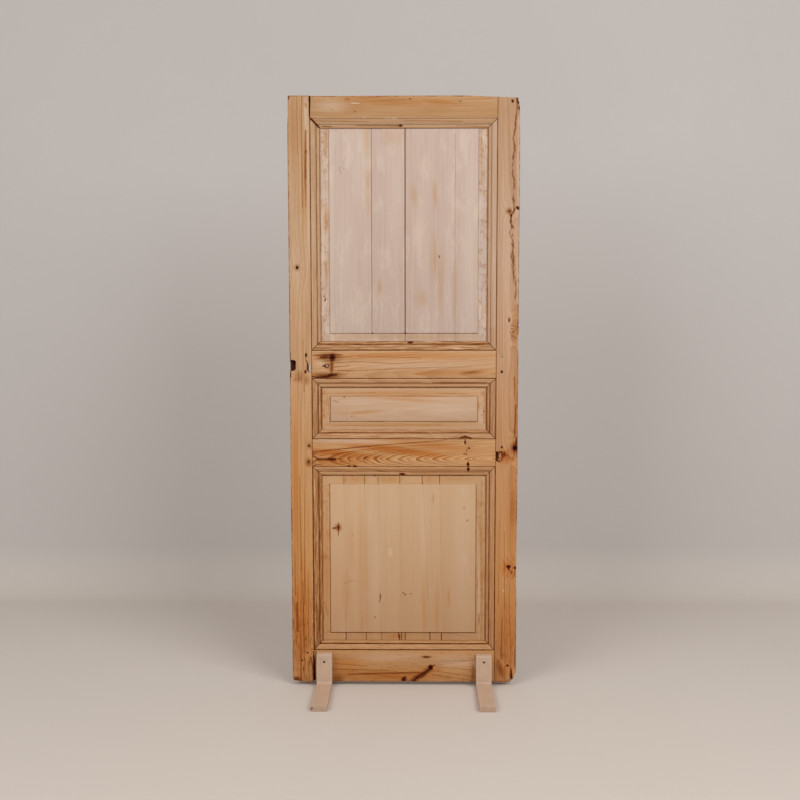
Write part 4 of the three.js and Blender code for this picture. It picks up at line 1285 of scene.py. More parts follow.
def member_material(node, finish):
    """Stripped pine of one stile or rail, with the dirt and painted shade of its mouldings and its own
    marks
    """
    sizes = bpy.context.scene.door_sizes
    colours = bpy.context.scene.door_colours
    material, wire, shader, place = new_material(node + " pine")
    rough_place = wire.effect("ragged", Vector=place, Scale=RAGGED_SCALE, Amount=RAGGED_AMOUNT)["Vector"]
    ring_width = finish.get("ring", sizes.ring_width)
    log, knots, wander = finish["log"], finish["knots"], finish.get("wander", 0.02)
    wood_place, figure = wood_figure(wire, place, log, knots, ring_width, wander)
    where = wire.split(place)
    tone = wire.tinted(wire.effect("tone", Vector=place)["Color"], finish["tint"])
    foot = wire.spread(where["Z"], 0.05, 0.4, finish.get("foot", 2.2), 1.0)
    streaks = wire.times(foot, finish["streaks"])
    colour = wood_colour(wire, tone, figure, finish["figure"], streaks)
    dirt, zones, streaky = moulding_dirt_and_shade(wire, place, node)
    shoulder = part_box("stile_right")[0].x + MOULDING_WIDTH
    seam = wire.gap(wire.calc("ABSOLUTE", where["X"]), shoulder)
    seam = wire.fade(seam, 0.0006, 0.0024, finish.get("seam", 0.7))
    patches = wire.noise(place, 14.0, 3.0, 0.6)
    dirt.append(wire.times(seam, wire.ease(patches, 0.3, 0.55, 0.45, 1.1)))
    front = front_only(wire, place)
    along = (0.07, 1.0, 1.0) if node in RAILS else (1.0, 1.0, 0.07)
    streak_dirt_and_shade = wire.noise(wire.stretched(place, along), 190.0, 3.0, 0.65)
    streak_dirt_and_shade = wire.times(front, wire.ease(streak_dirt_and_shade, 0.34, 0.68, 0.0, 1.5))
    colour = wire.blend(wire.times(wire.most(*zones), 0.1), colour, tuple(colours.chalk))
    # The moulding streaks are dirt and painted shade on the moulding's face
    colour = stained(wire, colour, colours.dirt_and_shade, wire.times(wire.most(*streaky), streak_dirt_and_shade))
    flecks = wire.noise(wire.stretched(wood_place, (0.1, 1.0, 1.0)), 400.0, 3.0, 0.65)
    near_floor = wire.fade(where["Z"], 0.0, 0.5, finish.get("flecks", 1.3))
    flecks = wire.times(wire.ease(flecks, 0.53, 0.68), near_floor, front)
    colour = stained(wire, colour, colours.dirt_and_shade, flecks)
    if node == "stile_right":
        colour = bark_strip(wire, place, rough_place, colour)
    grain = wire.times_plus(figure["Late Wood"], 0.3, figure["Streak"])
    colour, dark = apply_marks(wire, colour, rough_place, place, finish["marks"], grain)
    # The moulding lines are dirt and painted shade in the quirk, the step and the inner edge
    lines = wire.times(wire.most(*dirt), front)
    colour = stained(wire, colour, colours.dirt_and_shade, lines)
    low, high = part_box(node)
    rub = wire.effect("edge rub", Vector=place, Low=tuple(low), High=tuple(high), Width=0.003)
    colour = stained(wire, colour, colours.dirt_and_shade, wire.times(rub["Mask"], 0.5))
    dark = wire.most(dark, wire.times(lines, 0.6))
    finish_wood(wire, shader, colour, figure["Height"], dark, 0.5, 0.68)
    return material


def bark_strip(wire, place, rough_place, colour):
    """The winding bark line near the hinge edge and the flame grain beside it"""
    colours = bpy.context.scene.door_colours
    heights = [z for z, _ in BARK_LINE]
    low, high = min(heights) * MM, max(heights) * MM
    left, right = 0.36, 0.4
    part = wire.spread(wire.split(place)["Z"], low, high)
    path = wire.add("FloatCurve", {"Value": part})
    curve = path.mapping.curves[0]
    points = []
    for z, x in BARK_LINE:
        points.append(((z * MM - low) / (high - low), (x * MM - left) / (right - left)))
    while len(curve.points) < len(points):
        curve.points.new(0.5, 0.5)
    for point, spot in zip(curve.points, sorted(points)):
        point.location = spot
    path.mapping.update()
    across = wire.spread(path.outputs[0], 0.0, 1.0, left, right)
    across = wire.times_plus(wire.wobble(place, 75.0, 4.0, 0.7), 0.014, across)
    ends = {"Bottom": low, "Top": high}
    bark = wire.effect("bark line", Vector=place, Across=across, Width=0.0024, **ends)
    front = front_only(wire, place)
    flames = []
    for centre, size, pitch, slope in FLAMES:
        inputs = {"Place": centre, "Size": size, "Pitch": pitch, "Slope": slope}
        flames.append(wire.effect("flame", Vector=rough_place, **inputs)["Mask"])
    grain = wire.times(wire.most(*flames), wire.times(front, 0.45))
    colour = stained(wire, colour, colours.dirt_and_shade, grain)
    return stained(wire, colour, colours.bark, wire.times(bark["Line"], front))


def side_mix(wire, sides, depths):
    """The value for the side of a rectangle on which a place lies"""
    total = 0.0
    for side, depth in zip(SIDES, depths):
        total = wire.times_plus(sides[side], depth, total)
    return total


def board_material(node, log, tone, panel, marks, knots, field, opening):
    """Pine of a panel board: a field, darker margins, and a line of dirt and painted shade where the
    field steps down and under the moulding's rim
    """
    sizes = bpy.context.scene.door_sizes
    colours = bpy.context.scene.door_colours
    material, wire, shader, place = new_material(node + " pine")
    rough_place = wire.effect("ragged", Vector=place, Scale=RAGGED_SCALE, Amount=RAGGED_AMOUNT)["Vector"]
    _, figure = wood_figure(wire, place, log, knots, sizes.board_ring_width)
    sides = wire.effect("border", Vector=place, Low=field[0], High=field[1])
    outside = wire.ease(sides["Distance"], 0.0004, 0.002)
    for side in SIDES:
        tone = wire.tinted(tone, panel["margins"][side], wire.times(outside, sides[side]))
    # A panel's fall darkens it towards its foot: partly the wood's own colour, partly painted light
    # falloff towards the floor
    if "fall" in panel:
        low_tint, low, high = panel["fall"]
        tone = wire.tinted(tone, low_tint, wire.spread(wire.split(place)["Z"], low, high, 1.0, 0.0))
    colour = wood_colour(wire, tone, figure, panel["figure"], panel["streaks"])
    front = front_only(wire, place)
    whiting = wire.effect("whiting", Vector=place, Scale=26.0, Cover=panel["chalk"])
    chalk = wire.spread(outside, 0.0, 1.0, panel["field chalk"], panel["margin chalk"])
    chalk = wire.times(whiting["Chalk"], wire.times(chalk, front))
    colour = wire.blend(chalk, colour, tuple(colours.chalk))
    upright = wire.times(wire.plus(sides["Left"], sides["Right"]), outside, front)
    blotch = wire.noise(wire.stretched(place, (1.0, 1.0, 0.4)), 34.0, 3.0, 0.65)
    blotch = wire.times(wire.ease(blotch, 0.5, 0.66), upright, panel["blotch"])
    colour = stained(wire, colour, colours.resin, blotch)
    crackle = wire.times(upright, panel["crackle"], whiting["Crackle"])
    colour = stained(wire, colour, colours.dirt_and_shade, crackle)
    colour, dark = apply_marks(wire, colour, rough_place, place, marks, figure["Streak"])
    # The step and rim lines are dirt and painted shade: darker on the sides that face away from the
    # light, and under the moulding
    wobble = wire.wobble(place, 60.0)
    gap = wire.gap(wire.times_plus(wobble, 0.0015, sides["Distance"]), 0.0018)
    line = wire.times(side_mix(wire, sides, panel["step"]), wire.fade(gap, 0.0005, 0.0022))
    rim = wire.effect("border", Vector=place, Low=opening[0], High=opening[1])
    reach = wire.ease(wire.times_plus(wobble, 0.003, rim["Distance"]), -0.0045, -0.0008)
    line = wire.most(line, wire.times(side_mix(wire, rim, panel["rim"]), reach))
    patches = wire.ease(wire.noise(place, 13.0, 3.0, 0.6), 0.3, 0.55, 0.5, 1.15)
    line = wire.times(line, wire.times(front, patches))
    colour = stained(wire, colour, colours.dirt_and_shade, line)
    dark = wire.most(dark, wire.times(line, 0.5))
    finish_wood(wire, shader, colour, figure["Height"], dark, 0.56, 0.74)
    return material


def peg_material(name, tone):
    """Dark, greasy end grain of an old draw peg"""
    material, wire, shader, place = new_material(name)
    grain = wire.noise(wire.stretched(place, (1.0, 0.05, 1.0)), 1400.0, 3.0, 0.6)
    cloud = wire.noise(place, 260.0)
    colour = wire.shaded(tone, wire.times_plus(wire.minus(grain, 0.5), 1.2, 0.9))
    colour = wire.blend(wire.ease(cloud, 0.5, 0.7, 0.0, 0.5), colour, PEG_GREASE)
    rough = wire.spread(grain, 0.3, 0.7, 0.55, 0.8)
    set_surface(wire, shader, colour, rough, grain, 0.6, 0.0003, specular=0.15)
    return material


def foot_material(name, node, marks):
    """Matt cream paint, thinner and paler along the foot's edges and dirtier at its end"""
    colours = bpy.context.scene.door_colours
    material, wire, shader, place = new_material(name)
    low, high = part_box(node)
    middle, half = (low.x + high.x) / 2, (high.x - low.x) / 2
    where = wire.split(place)
    wear = wire.ease(wire.gap(where["X"], middle), half - 0.006, half - 0.0005, 0.0, 0.8)
    wear = wire.most(wear, wire.fade(where["Z"], 0.0, 0.004, 0.7))
    inputs = {"Vector": place, "Paint": tuple(colours.foot_paint), "Worn": WORN_PAINT}
    paint = wire.effect("paint", **inputs, Wear=wear)
    if low.y < FRONT_FOOT_REACH:
        outer = wire.fade(where["Y"], low.y + 0.001, low.y + 0.004)
    else:
        outer = wire.ease(where["Y"], high.y - 0.004, high.y - 0.001)
    grime = wire.ease(wire.noise(place, 120.0, 4.0, 0.65), 0.35, 0.65, 0.2, 0.7)
    colour = wire.blend(wire.times(outer, grime), paint["Color"], FOOT_END_DIRT)
    # The foot is made a little darker below three centimetres
    low_darkening = wire.fade(where["Z"], 0.022, 0.03)
    colour = wire.tinted(colour, LOW_FOOT_TINT, low_darkening)
    specks = wire.add("TexVoronoi", {"Vector": place, "Scale": 170.0, "Randomness": 1.0})
    chance = wire.calc("GREATER_THAN", wire.split(specks.outputs["Color"])["X"], 0.93)
    speck = wire.times(wire.fade(specks.outputs["Distance"], 0.08, 0.2), chance, 0.8)
    colour = stained(wire, colour, colours.dirt_and_shade, speck)
    for x, y, z, radius, depth in marks:
        gap = wire.vector("DISTANCE", place, (x * MM, y * MM, z * MM))
        chip = wire.fade(gap, radius * MM * 0.5, radius * MM * 1.3, depth)
        colour = stained(wire, colour, colours.dirt_and_shade, chip)
    rough, height = paint["Roughness"], paint["Height"]
    set_surface(wire, shader, colour, rough, height, 0.5, 0.0002, specular=0.4)
    return material


def filler_material(name, tone):
    """Chalky filler of a joint, brown where it has crumbled out"""
    material, wire, shader, place = new_material(name)
    cloud = wire.noise(wire.stretched(place, (1.0, 1.0, 0.25)), 60.0, 3.0, 0.6)
    grit = wire.noise(place, 700.0)
    colour = wire.shaded(tone, wire.times_plus(wire.minus(grit, 0.5), 0.2, 0.94))
    dirt = bpy.context.scene.door_colours.dirt_and_shade
    colour = stained(wire, colour, dirt, wire.ease(cloud, 0.5, 0.72, 0.05, 0.9))
    rough = wire.spread(grit, 0.3, 0.7, 0.7, 0.85)
    set_surface(wire, shader, colour, rough, grit, 0.4, 0.0002)
    return material


def screw_material(name):
    """Blackened steel, rubbed bright here and there, with dust in the recess"""
    black = tuple(bpy.context.scene.door_colours.screw_black)
    material, wire, shader, place = new_material(name)
    scratch = wire.noise(wire.stretched(place, (1.0, 1.0, 0.2)), 1800.0, 3.0, 0.6)
    colour = wire.blend(wire.ease(scratch, 0.56, 0.72, 0.0, 0.6), black, RUBBED_STEEL)
    dust = wire.ease(wire.noise(place, 500.0), 0.5, 0.7, 0.0, 0.35)
    colour = wire.blend(dust, colour, SCREW_DUST)
    rough = wire.spread(scratch, 0.3, 0.7, 0.35, 0.6)
    set_surface(wire, shader, colour, rough, scratch, 0.4, 0.0001, metallic=0.6)
    return material


# Modelling


def choose(piece):
    """Selects one piece alone and makes it active"""
    bpy.ops.object.select_all(action="DESELECT")
    piece.select_set(True)
    bpy.context.view_layer.objects.active = piece


def select_faces(piece, wanted):
    """Selects in edit mode the faces for which wanted(centre, normal) is true"""
    bpy.ops.mesh.select_mode(type="FACE")
    bpy.ops.mesh.select_all(action="DESELECT")
    bpy.ops.object.mode_set(mode="OBJECT")
    for face in piece.data.polygons:
        face.select = wanted(face.center, face.normal)
    bpy.ops.object.mode_set(mode="EDIT")


def round_edges(piece, width, segments, angle):
    """Rounds the edges that are sharper than an angle, then shades the piece smooth"""
    bevel = piece.modifiers.new("Worn edges", "BEVEL")
    bevel.width = width
    bevel.segments = segments
    bevel.limit_method = "ANGLE"
    bevel.angle_limit = math.radians(angle)
    bpy.ops.object.modifier_apply(modifier=bevel.name)
    bpy.ops.object.shade_smooth_by_angle(angle=math.radians(30.0))


def softened_copy(node, name, width, segments=2, angle=38.0):
    """A copy of a CAD node with whole faces and worn, rounded edges"""
    piece = bpy.data.objects.new(name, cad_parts[node].data.copy())
    bpy.context.scene.collection.objects.link(piece)
    piece.data.materials.clear()
    choose(piece)
    bpy.ops.mesh.customdata_custom_splitnormals_clear()
    bpy.ops.object.mode_set(mode="EDIT")
    bpy.ops.mesh.select_all(action="SELECT")
    bpy.ops.mesh.remove_doubles(threshold=0.00002)
    bpy.ops.mesh.dissolve_limited(angle_limit=math.radians(0.6))
    bpy.ops.object.mode_set(mode="OBJECT")
    round_edges(piece, width, segments, angle)
    return piece


def dress(piece, material, slot, *nodes):
    """Gives a piece its material and lets it stand for its CAD nodes"""
    piece.data.materials.clear()
    piece.data.materials.append(material)
    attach(piece, "root")
    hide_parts(*nodes)


def peg_piece(node, name, turn, chamfer):
    """A round peg whose rims are worn and whose ends are a little sunk in the middle"""
    low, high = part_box(node)
    radius = (high.x - low.x) / 2
    centre = (low + high) / 2
    bpy.ops.object.select_all(action="DESELECT")
    bpy.ops.mesh.primitive_cylinder_add(
        vertices=16,
        radius=radius,
        depth=high.y - low.y,
        location=centre,
        rotation=(math.radians(90.0), math.radians(turn), 0.0),
    )
    piece = bpy.context.active_object
    piece.name = name
    bpy.ops.object.transform_apply(location=True, rotation=True, scale=True)
    bpy.ops.object.mode_set(mode="EDIT")
    for sign in (-1.0, 1.0):
        select_faces(piece, lambda centre, normal: normal.y * sign > 0.9)
        bpy.ops.mesh.inset(thickness=chamfer, depth=0.0)
        bpy.ops.mesh.inset(thickness=radius * 0.45, depth=-chamfer * 0.4)
    bpy.ops.object.mode_set(mode="OBJECT")
    round_edges(piece, chamfer * 0.6, 2, 50.0)
    return piece


def joint_ends(node):
    """Where the right edge of a board's raised face has its foot and its head"""
    places = [vertex.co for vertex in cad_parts[node].data.vertices]
    front = min(place.y for place in places)
    face = [place for place in places if place.y < front + 0.0004]
    low, high = min(place.z for place in face), max(place.z for place in face)
    foot = max(place.x for place in face if place.z < low + 0.002)
    head = max(place.x for place in face if place.z > high - 0.002)
    return Vector((foot, front, low)), Vector((head, front, high))


def joint_filler(name, boards, width, sunk):
    """Strips of old filler, a little below the face, in the joints at the right of some boards"""
    strips = []
    for node in boards:
        foot, head = joint_ends(node)
        along = head - foot
        bpy.ops.object.select_all(action="DESELECT")
        bpy.ops.mesh.primitive_cube_add(
            size=1.0,
            location=(foot + head) / 2 + Vector((FILLER_ASIDE, sunk + width / 2, 0.0)),
            rotation=(0.0, math.atan2(along.x, along.z), 0.0),
            scale=(width, width, along.length - FILLER_END_GAP),
        )
        strips.append(bpy.context.active_object)
        bpy.ops.object.transform_apply(location=True, rotation=True, scale=True)
    bpy.ops.object.select_all(action="DESELECT")
    for strip in strips:
        strip.select_set(True)
    bpy.context.view_layer.objects.active = strips[0]
    if len(strips) > 1:
        bpy.ops.object.join()
    piece = bpy.context.active_object
    piece.name = name
    return piece


def cross_cutter(centre, sign, width, reach, depth):
    """A tapering cross that cuts the recess of a screw head"""
    bpy.ops.object.select_all(action="DESELECT")
    bpy.ops.mesh.primitive_cube_add(size=width, location=centre)
    cutter = bpy.context.active_object
    bpy.ops.object.transform_apply(location=True, rotation=False, scale=False)
    bpy.ops.object.mode_set(mode="EDIT")
    for axis in (0, 2):
        for side in (-1.0, 1.0):
            select_faces(cutter, lambda middle, normal: is_arm(middle, normal, centre, axis, side, width))
            shift = [0.0, 0.0, 0.0]
            shift[axis] = side * (reach - width / 2)
            bpy.ops.mesh.extrude_region_move(TRANSFORM_OT_translate={"value": shift})
    select_faces(cutter, lambda middle, normal: normal.y * sign < -0.9)
    bpy.ops.transform.translate(value=(0.0, -sign * (depth - width / 2), 0.0))
    bpy.ops.transform.resize(value=(0.55, 1.0, 0.55), center_override=centre)
    select_faces(cutter, lambda middle, normal: normal.y * sign > 0.9)
    bpy.ops.transform.translate(value=(0.0, sign * 0.004, 0.0))
    bpy.ops.object.mode_set(mode="OBJECT")
    return cutter


def is_arm(middle, normal, centre, axis, side, width):
    """Whether a face of the cutter's core looks along one arm of the cross"""
    other = 2 - axis
    return normal[axis] * side > 0.9 and abs(middle[other] - centre[other]) < width * 0.2


def screw_piece(node, name, recess):
    """A countersunk screw: the CAD shape with rounded edges and a cross recess in its head"""
    piece = softened_copy(node, name, 0.0003, 1, 50.0)
    low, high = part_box(node)
    sign = -1.0 if (low.y + high.y) < 0.0 else 1.0
    head = low.y if sign < 0.0 else high.y
    centre = Vector(((low.x + high.x) / 2, head, (low.z + high.z) / 2))
    cutter = cross_cutter(centre, sign, recess, recess * RECESS_REACH, RECESS_DEPTH)
    choose(piece)
    cut = piece.modifiers.new("Recess", "BOOLEAN")
    cut.object = cutter
    cut.operation = "DIFFERENCE"
    cut.solver = "EXACT"
    bpy.ops.object.modifier_apply(modifier=cut.name)
    bpy.data.objects.remove(cutter)
    bpy.ops.object.shade_smooth_by_angle(angle=math.radians(35.0))
    return piece


# The pieces' own values: pith of the log in millimetres, its turn in degrees, and the finish

UPRIGHT = -90.0
MEMBER_FINISHES = {
    "stile_left": {
        "log": ((-338.0, 34.0, 900.0), (0.0, UPRIGHT + 0.5, 0.0)),
        "tint": (0.98, 0.97, 0.95),
        "figure": 0.42,
        "wander": 0.022,
        "streaks": 0.13,
        "marks": STILE_LEFT_MARKS,
        "knots": STILE_LEFT_KNOTS,
    },
    "stile_right": {
        "log": ((384.0, 30.0, 900.0), (0.0, UPRIGHT - 0.6, 0.0)),
        "tint": (0.93, 0.89, 0.9),
        "figure": 0.34,
        "wander": 0.024,
        "streaks": 0.11,
        "flecks": 0.7,
        "marks": STILE_RIGHT_MARKS,
        "knots": STILE_RIGHT_KNOTS,
    },
    "rail_top": {
        "log": ((0.0, 40.0, 2090.0), (0.0, 1.0, 2.0)),
        "tint": (0.96, 0.88, 0.75),
        "figure": 0.3,
        "streaks": 0.13,
        "seam": 0.35,
    },
    "rail_lock": {
        "log": ((0.0, 60.0, 1120.0), (0.0, -1.0, -2.5)),
        "tint": (1.0, 0.97, 0.92),
        "figure": 0.36,
        "streaks": 0.1,
        "ring": 0.005,
    },
    "rail_middle": {
        "log": ((0.0, 18.2, 821.0), (0.0, 0.0, -4.9)),
        "tint": (1.05, 1.07, 1.08),
        "figure": 1.25,
        "streaks": 0.11,
        "ring": 0.0027,
        "wander": 0.008,
    },
    "rail_bottom": {
        "log": ((0.0, 45.0, 20.0), (0.0, 0.8, 2.0)),
        "tint": (0.95, 0.99, 1.02),
        "figure": 0.26,
        "streaks": 0.06,
        "foot": 1.0,
        "flecks": 0.3,
    },
}
for rail in RAILS:
    MEMBER_FINISHES[rail].update({"marks": RAIL_MARKS[rail], "knots": RAIL_KNOTS[rail]})

# Depth of the dirt and painted shade in the quirk, the step, the inner edge and the streaks on
# the moulding, for the top, the middle and the bottom opening
MOULDING_DIRT_AND_SHADE = {
    "stile_left": ((0.55, 0.5, 0.1, 0.1), (0.9, 0.85, 0.5, 0.35), (1.8, 0.9, 0.25, 0.5)),
    "stile_right": ((0.1, 0.1, 0.5, 0.0), (0.65, 0.6, 0.8, 0.25), (1.15, 0.75, 0.35, 0.15)),
    "rail_top": ((0.0, 0.0, 0.0, 0.0), None, None),
    "rail_lock": ((1.1, 0.6, 0.05, 0.5), (0.85, 0.1, 0.45, 0.0), None),
    "rail_middle": (None, (0.65, 0.65, 0.05, 0.3), (0.3, 0.0, 0.15, 0.0)),
    "rail_bottom": (None, None, (1.4, 1.3, 0.2, 0.12)),
}
TOP_MARGINS = {
    "Left": (1.0, 0.99, 0.94),
    "Right": (1.01, 1.03, 1.04),
    "Bottom": (1.0, 0.96, 0.88),
    "Top": (1.0, 0.98, 0.95),
}
MIDDLE_MARGINS = {
    "Left": (1.01, 0.97, 0.89),
    "Right": (1.01, 0.98, 0.92),
    "Bottom": (0.98, 0.95, 0.87),
    "Top": (1.0, 0.96, 0.87),
}
BOTTOM_MARGINS = {
    "Left": (0.96, 0.91, 0.83),
    "Right": (0.92, 0.9, 0.87),
    "Bottom": (0.93, 0.85, 0.74),
    "Top": (0.95, 0.89, 0.79),
}
TOP_BOARD_TINTS = (
    (1.0, 1.0, 1.0),
    (0.985, 0.98, 0.985),
    (0.99, 0.975, 0.97),
    (1.0, 0.985, 0.98),
    (1.0, 1.0, 1.005),
)
BOTTOM_BOARD_TINTS = (
    (1.01, 0.99, 0.96),
    (1.0, 0.99, 0.98),
    (0.99, 0.97, 0.94),
    (1.0, 1.0, 1.0),
    (0.99, 0.98, 0.96),
    (0.98, 0.97, 0.96),
    (0.97, 0.95, 0.92),
)
PEG_TONES = {
    "peg_lock_right_upper": linear(158, 140, 128),
    "peg_middle_left_upper": linear(104, 66, 42),
    "peg_middle_left_lower": linear(98, 60, 38),
    "peg_bottom_right_inner": linear(150, 112, 84),
}

# The panels: margins of the field, and the pith of the boards as its way aside and its step from
# board to board, its depth and height, and its lean and the step of that
# Step and rim give the depth of the dirt and painted shade along the field's step and under the moulding,
# for the left, right, bottom and top side
TOP_PANEL = {
    "boards": TOP_BOARDS,
    "opening": 0,
    "field": (0.0277, 0.0016, 0.0),
    "tone": "top_board",
    "tints": TOP_BOARD_TINTS,
    "margins": TOP_MARGINS,
    "pith": (20.0, -11.0, 60.0, 1500.0, 0.5, -0.3),
    "slot": "pine_top_panel",
    "marks": TOP_PANEL_MARKS,
    "knots": [],
    "figure": 0.11,
    "streaks": 0.055,
    "chalk": 0.55,
    "field chalk": 0.4,
    "margin chalk": 0.6,
    "crackle": 0.3,
    "blotch": 0.25,
    "step": (0.25, 0.2, 0.45, 0.0),
    "rim": (0.5, 0.3, 0.0, 0.0),
}
MIDDLE_PANEL = {
    "boards": ("panel_middle_board",),
    "opening": 1,
    "field": (0.030, 0.0336, 0.0),
    "tone": "middle_board",
    "tints": ((1.0, 1.0, 1.0),),
    "margins": MIDDLE_MARGINS,
    "log": ((0.0, 45.0, 985.0), (0.0, 1.2, -2.0)),
    "slot": "pine_panel",
    "marks": MIDDLE_PANEL_MARKS,
    "knots": [],
    "figure": 0.12,
    "streaks": 0.06,
    "chalk": 0.35,
    "field chalk": 0.12,
    "margin chalk": 0.15,
    "crackle": 0.25,
    "blotch": 0.3,
    "step": (0.65, 0.5, 0.5, 0.45),
    "rim": (0.8, 0.5, 0.0, 0.7),
}
BOTTOM_PANEL = {
    "boards": BOTTOM_BOARDS,
    "opening": 2,
    "field": (0.030, 0.0336, -0.0039),
    "tone": "bottom_board",
    "tints": BOTTOM_BOARD_TINTS,
    "margins": BOTTOM_MARGINS,
    "pith": (-15.0, 7.0, 50.0, 450.0, 0.6, -0.35),
    "slot": "pine_panel",
    "marks": BOTTOM_PANEL_MARKS,
    "knots": BOTTOM_PANEL_KNOTS,
    "figure": 0.06,
    "streaks": 0.022,
    "chalk": 0.3,
    "field chalk": 0.15,
    "margin chalk": 0.15,
    "crackle": 0.2,
    "blotch": 0.2,
    # fall: the tint and the heights over which it fades out; partly painted light falloff towards the
    # floor
    "fall": ((0.93, 0.86, 0.78), 0.25, 0.62),
    "step": (0.6, 0.6, 0.95, 0.1),
    "rim": (0.3, 0.5, 0.1, 1.3),
}


def field_of(opening, low_margin, high_margin, shift):
    """The raised field of a panel, from its opening and the widths of its margins"""
    low, high = opening
    corner = (low[0] + MOULDING_WIDTH + shift, 0.0, low[2] + low_margin)
    far_corner = (high[0] - MOULDING_WIDTH + shift, 0.0, high[2] - high_margin)
    return corner, far_corner


def near_board(marks, node, spare=14.0):
    """Only those marks that reach over one board"""
    low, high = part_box(node)
    left, right = low.x / MM - spare, high.x / MM + spare
    kept = {}
    for kind, group in marks.items():
        kept[kind] = [m for m in group if m["reach"][1] > left and m["reach"][0] < right]
    return kept


def upright_log(node, n, panel):
    """The log of a standing board: its pith lies aside of the board, and leans a little"""
    aside, aside_step, depth, height, lean, lean_step = panel["pith"]
    low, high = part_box(node)
    middle = (low.x + high.x) / 2 / MM
    pith = (middle + aside + aside_step * n, depth, height)
    return pith, (0.0, UPRIGHT + lean + lean_step * n, 0.0)


def make_panel(panel):
    """Dresses the boards of one panel"""
    sizes = bpy.context.scene.door_sizes
    tone = getattr(bpy.context.scene.door_colours, panel["tone"])
    opening = openings()[panel["opening"]]
    field = field_of(opening, *panel["field"])
    for n, (node, tint) in enumerate(zip(panel["boards"], panel["tints"])):
        piece = softened_copy(node, node + "_wood", sizes.board_round)
        low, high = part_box(node)
        log = panel["log"] if "log" in panel else upright_log(node, n, panel)
        board_tone = tuple(part * factor for part, factor in zip(tone, tint))
        marks = near_board(panel["marks"], node)
        knots = [knot for knot in panel["knots"] if low.x < knot[0] * MM < high.x]
        values = (board_tone, panel, marks, knots, field, opening)
        dress(piece, board_material(node, log, *values), panel["slot"], node)


def make_members(nodes):
    """Dresses some stiles or rails"""
    for node in nodes:
        piece = softened_copy(node, node + "_wood", bpy.context.scene.door_sizes.wood_round)
        dress(piece, member_material(node, MEMBER_FINISHES[node]), "pine_frame", node)


# The studio


def studio_sweep():
    """The floor and backdrop as one sheet with a rounded corner"""
    bpy.ops.object.select_all(action="DESELECT")
    bpy.ops.mesh.primitive_plane_add(size=1.0, location=(0.0, 0.0, 0.0))
    sweep = bpy.context.active_object
    sweep.name = "studio_sweep"
    sweep.scale = (SWEEP_WIDTH, SWEEP_LENGTH, 1.0)
    bpy.ops.object.transform_apply(location=True, rotation=True, scale=True)
    bpy.ops.object.mode_set(mode="EDIT")
    bpy.ops.mesh.select_all(action="SELECT")
    bpy.ops.transform.translate(value=(0.0, SWEEP_MIDDLE, 0.0))
    select_far_edges(sweep)
    rise = (0.0, 0.0, SWEEP_HEIGHT)
    bpy.ops.mesh.extrude_region_move(TRANSFORM_OT_translate={"value": rise})
    select_far_edges(sweep, highest=0.01)
    bpy.ops.mesh.bevel(offset=SWEEP_BEND, segments=10)
    bpy.ops.mesh.select_all(action="SELECT")
    bpy.ops.mesh.normals_make_consistent(inside=False)
    bpy.ops.object.mode_set(mode="OBJECT")
    floor = [face for face in sweep.data.polygons if face.center.z < 0.001]
    if floor[0].normal.z < 0.0:
        bpy.ops.object.mode_set(mode="EDIT")
        bpy.ops.mesh.flip_normals()
        bpy.ops.object.mode_set(mode="OBJECT")
    bpy.ops.object.shade_smooth()
    return sweep


def select_far_edges(sweep, highest=math.inf):
    """Selects in edit mode the edges at the back of the floor, up to a height"""
    bpy.ops.mesh.select_mode(type="EDGE")
    bpy.ops.mesh.select_all(action="DESELECT")
    bpy.ops.object.mode_set(mode="OBJECT")
    for edge in sweep.data.edges:
        ends = [sweep.data.vertices[n].co for n in edge.vertices]
        edge.select = all(end.y > 1.2 and end.z < highest for end in ends)
    bpy.ops.object.mode_set(mode="EDIT")


def sweep_material():
    """Matt floor that passes into the backdrop; from behind the backdrop is clear"""
    colours = bpy.context.scene.door_colours
    material, wire, shader, place = new_material("Studio Paint")
    shade = wire.times_plus(wire.wobble(place, 1.3, 3.0, 0.55), 0.05, 1.0)
    height = wire.split(place)["Z"]
    paint = wire.blend(wire.ease(height, 0.0, 0.25), tuple(colours.floor), tuple(colours.backdrop))
    values = {"Base Color": wire.shaded(paint, shade), "Roughness": 0.75, "Specular IOR Level": 0.2}
    for name, value in values.items():
        wire.feed(shader.inputs[name], value)
    behind = wire.add("NewGeometry").outputs["Backfacing"]
    clear = wire.add("BsdfTransparent").outputs["BSDF"]
    mixed = wire.add("MixShader", {0: behind, 1: shader.outputs["BSDF"], 2: clear})
    output = next(node for node in material.node_tree.nodes if node.type == "OUTPUT_MATERIAL")
    wire.feed(output.inputs["Surface"], mixed.outputs[0])
    return material


def soft_lamp(name, place, power, size):
    """A large square lamp that looks at the door"""
    turn = (Vector(LAMP_TARGET) - Vector(place)).to_track_quat("-Z", "Y").to_euler()
    bpy.ops.object.light_add(type="AREA", location=place, rotation=turn)
    lamp = bpy.context.active_object
    lamp.name = name
    lamp.data.energy = power
    lamp.data.size = size


def studio_world():
    """Even, slightly warm light from all round; the camera sees the backdrop's colour"""
    world = bpy.data.worlds.new("Studio")
    world.use_nodes = True
    world.node_tree.nodes.clear()
    wire = Wiring(world.node_tree)
    height = wire.split(wire.add("TexCoord").outputs["Generated"])["Z"]
    inputs = {"Color": SKY_COLOUR, "Strength": wire.ease(height, 0.05, 0.8, 0.1, 0.62)}
    light = wire.add("Background", inputs)
    backdrop = tuple(bpy.context.scene.door_colours.backdrop)
    seen = wire.add("Background", {"Color": backdrop, "Strength": 1.0})
    ray = wire.add("LightPath").outputs["Is Camera Ray"]
    mixed = wire.add("MixShader", {0: ray, 1: light.outputs[0], 2: seen.outputs[0]})
    wire.add("OutputWorld", {"Surface": mixed.outputs[0]})
    return world


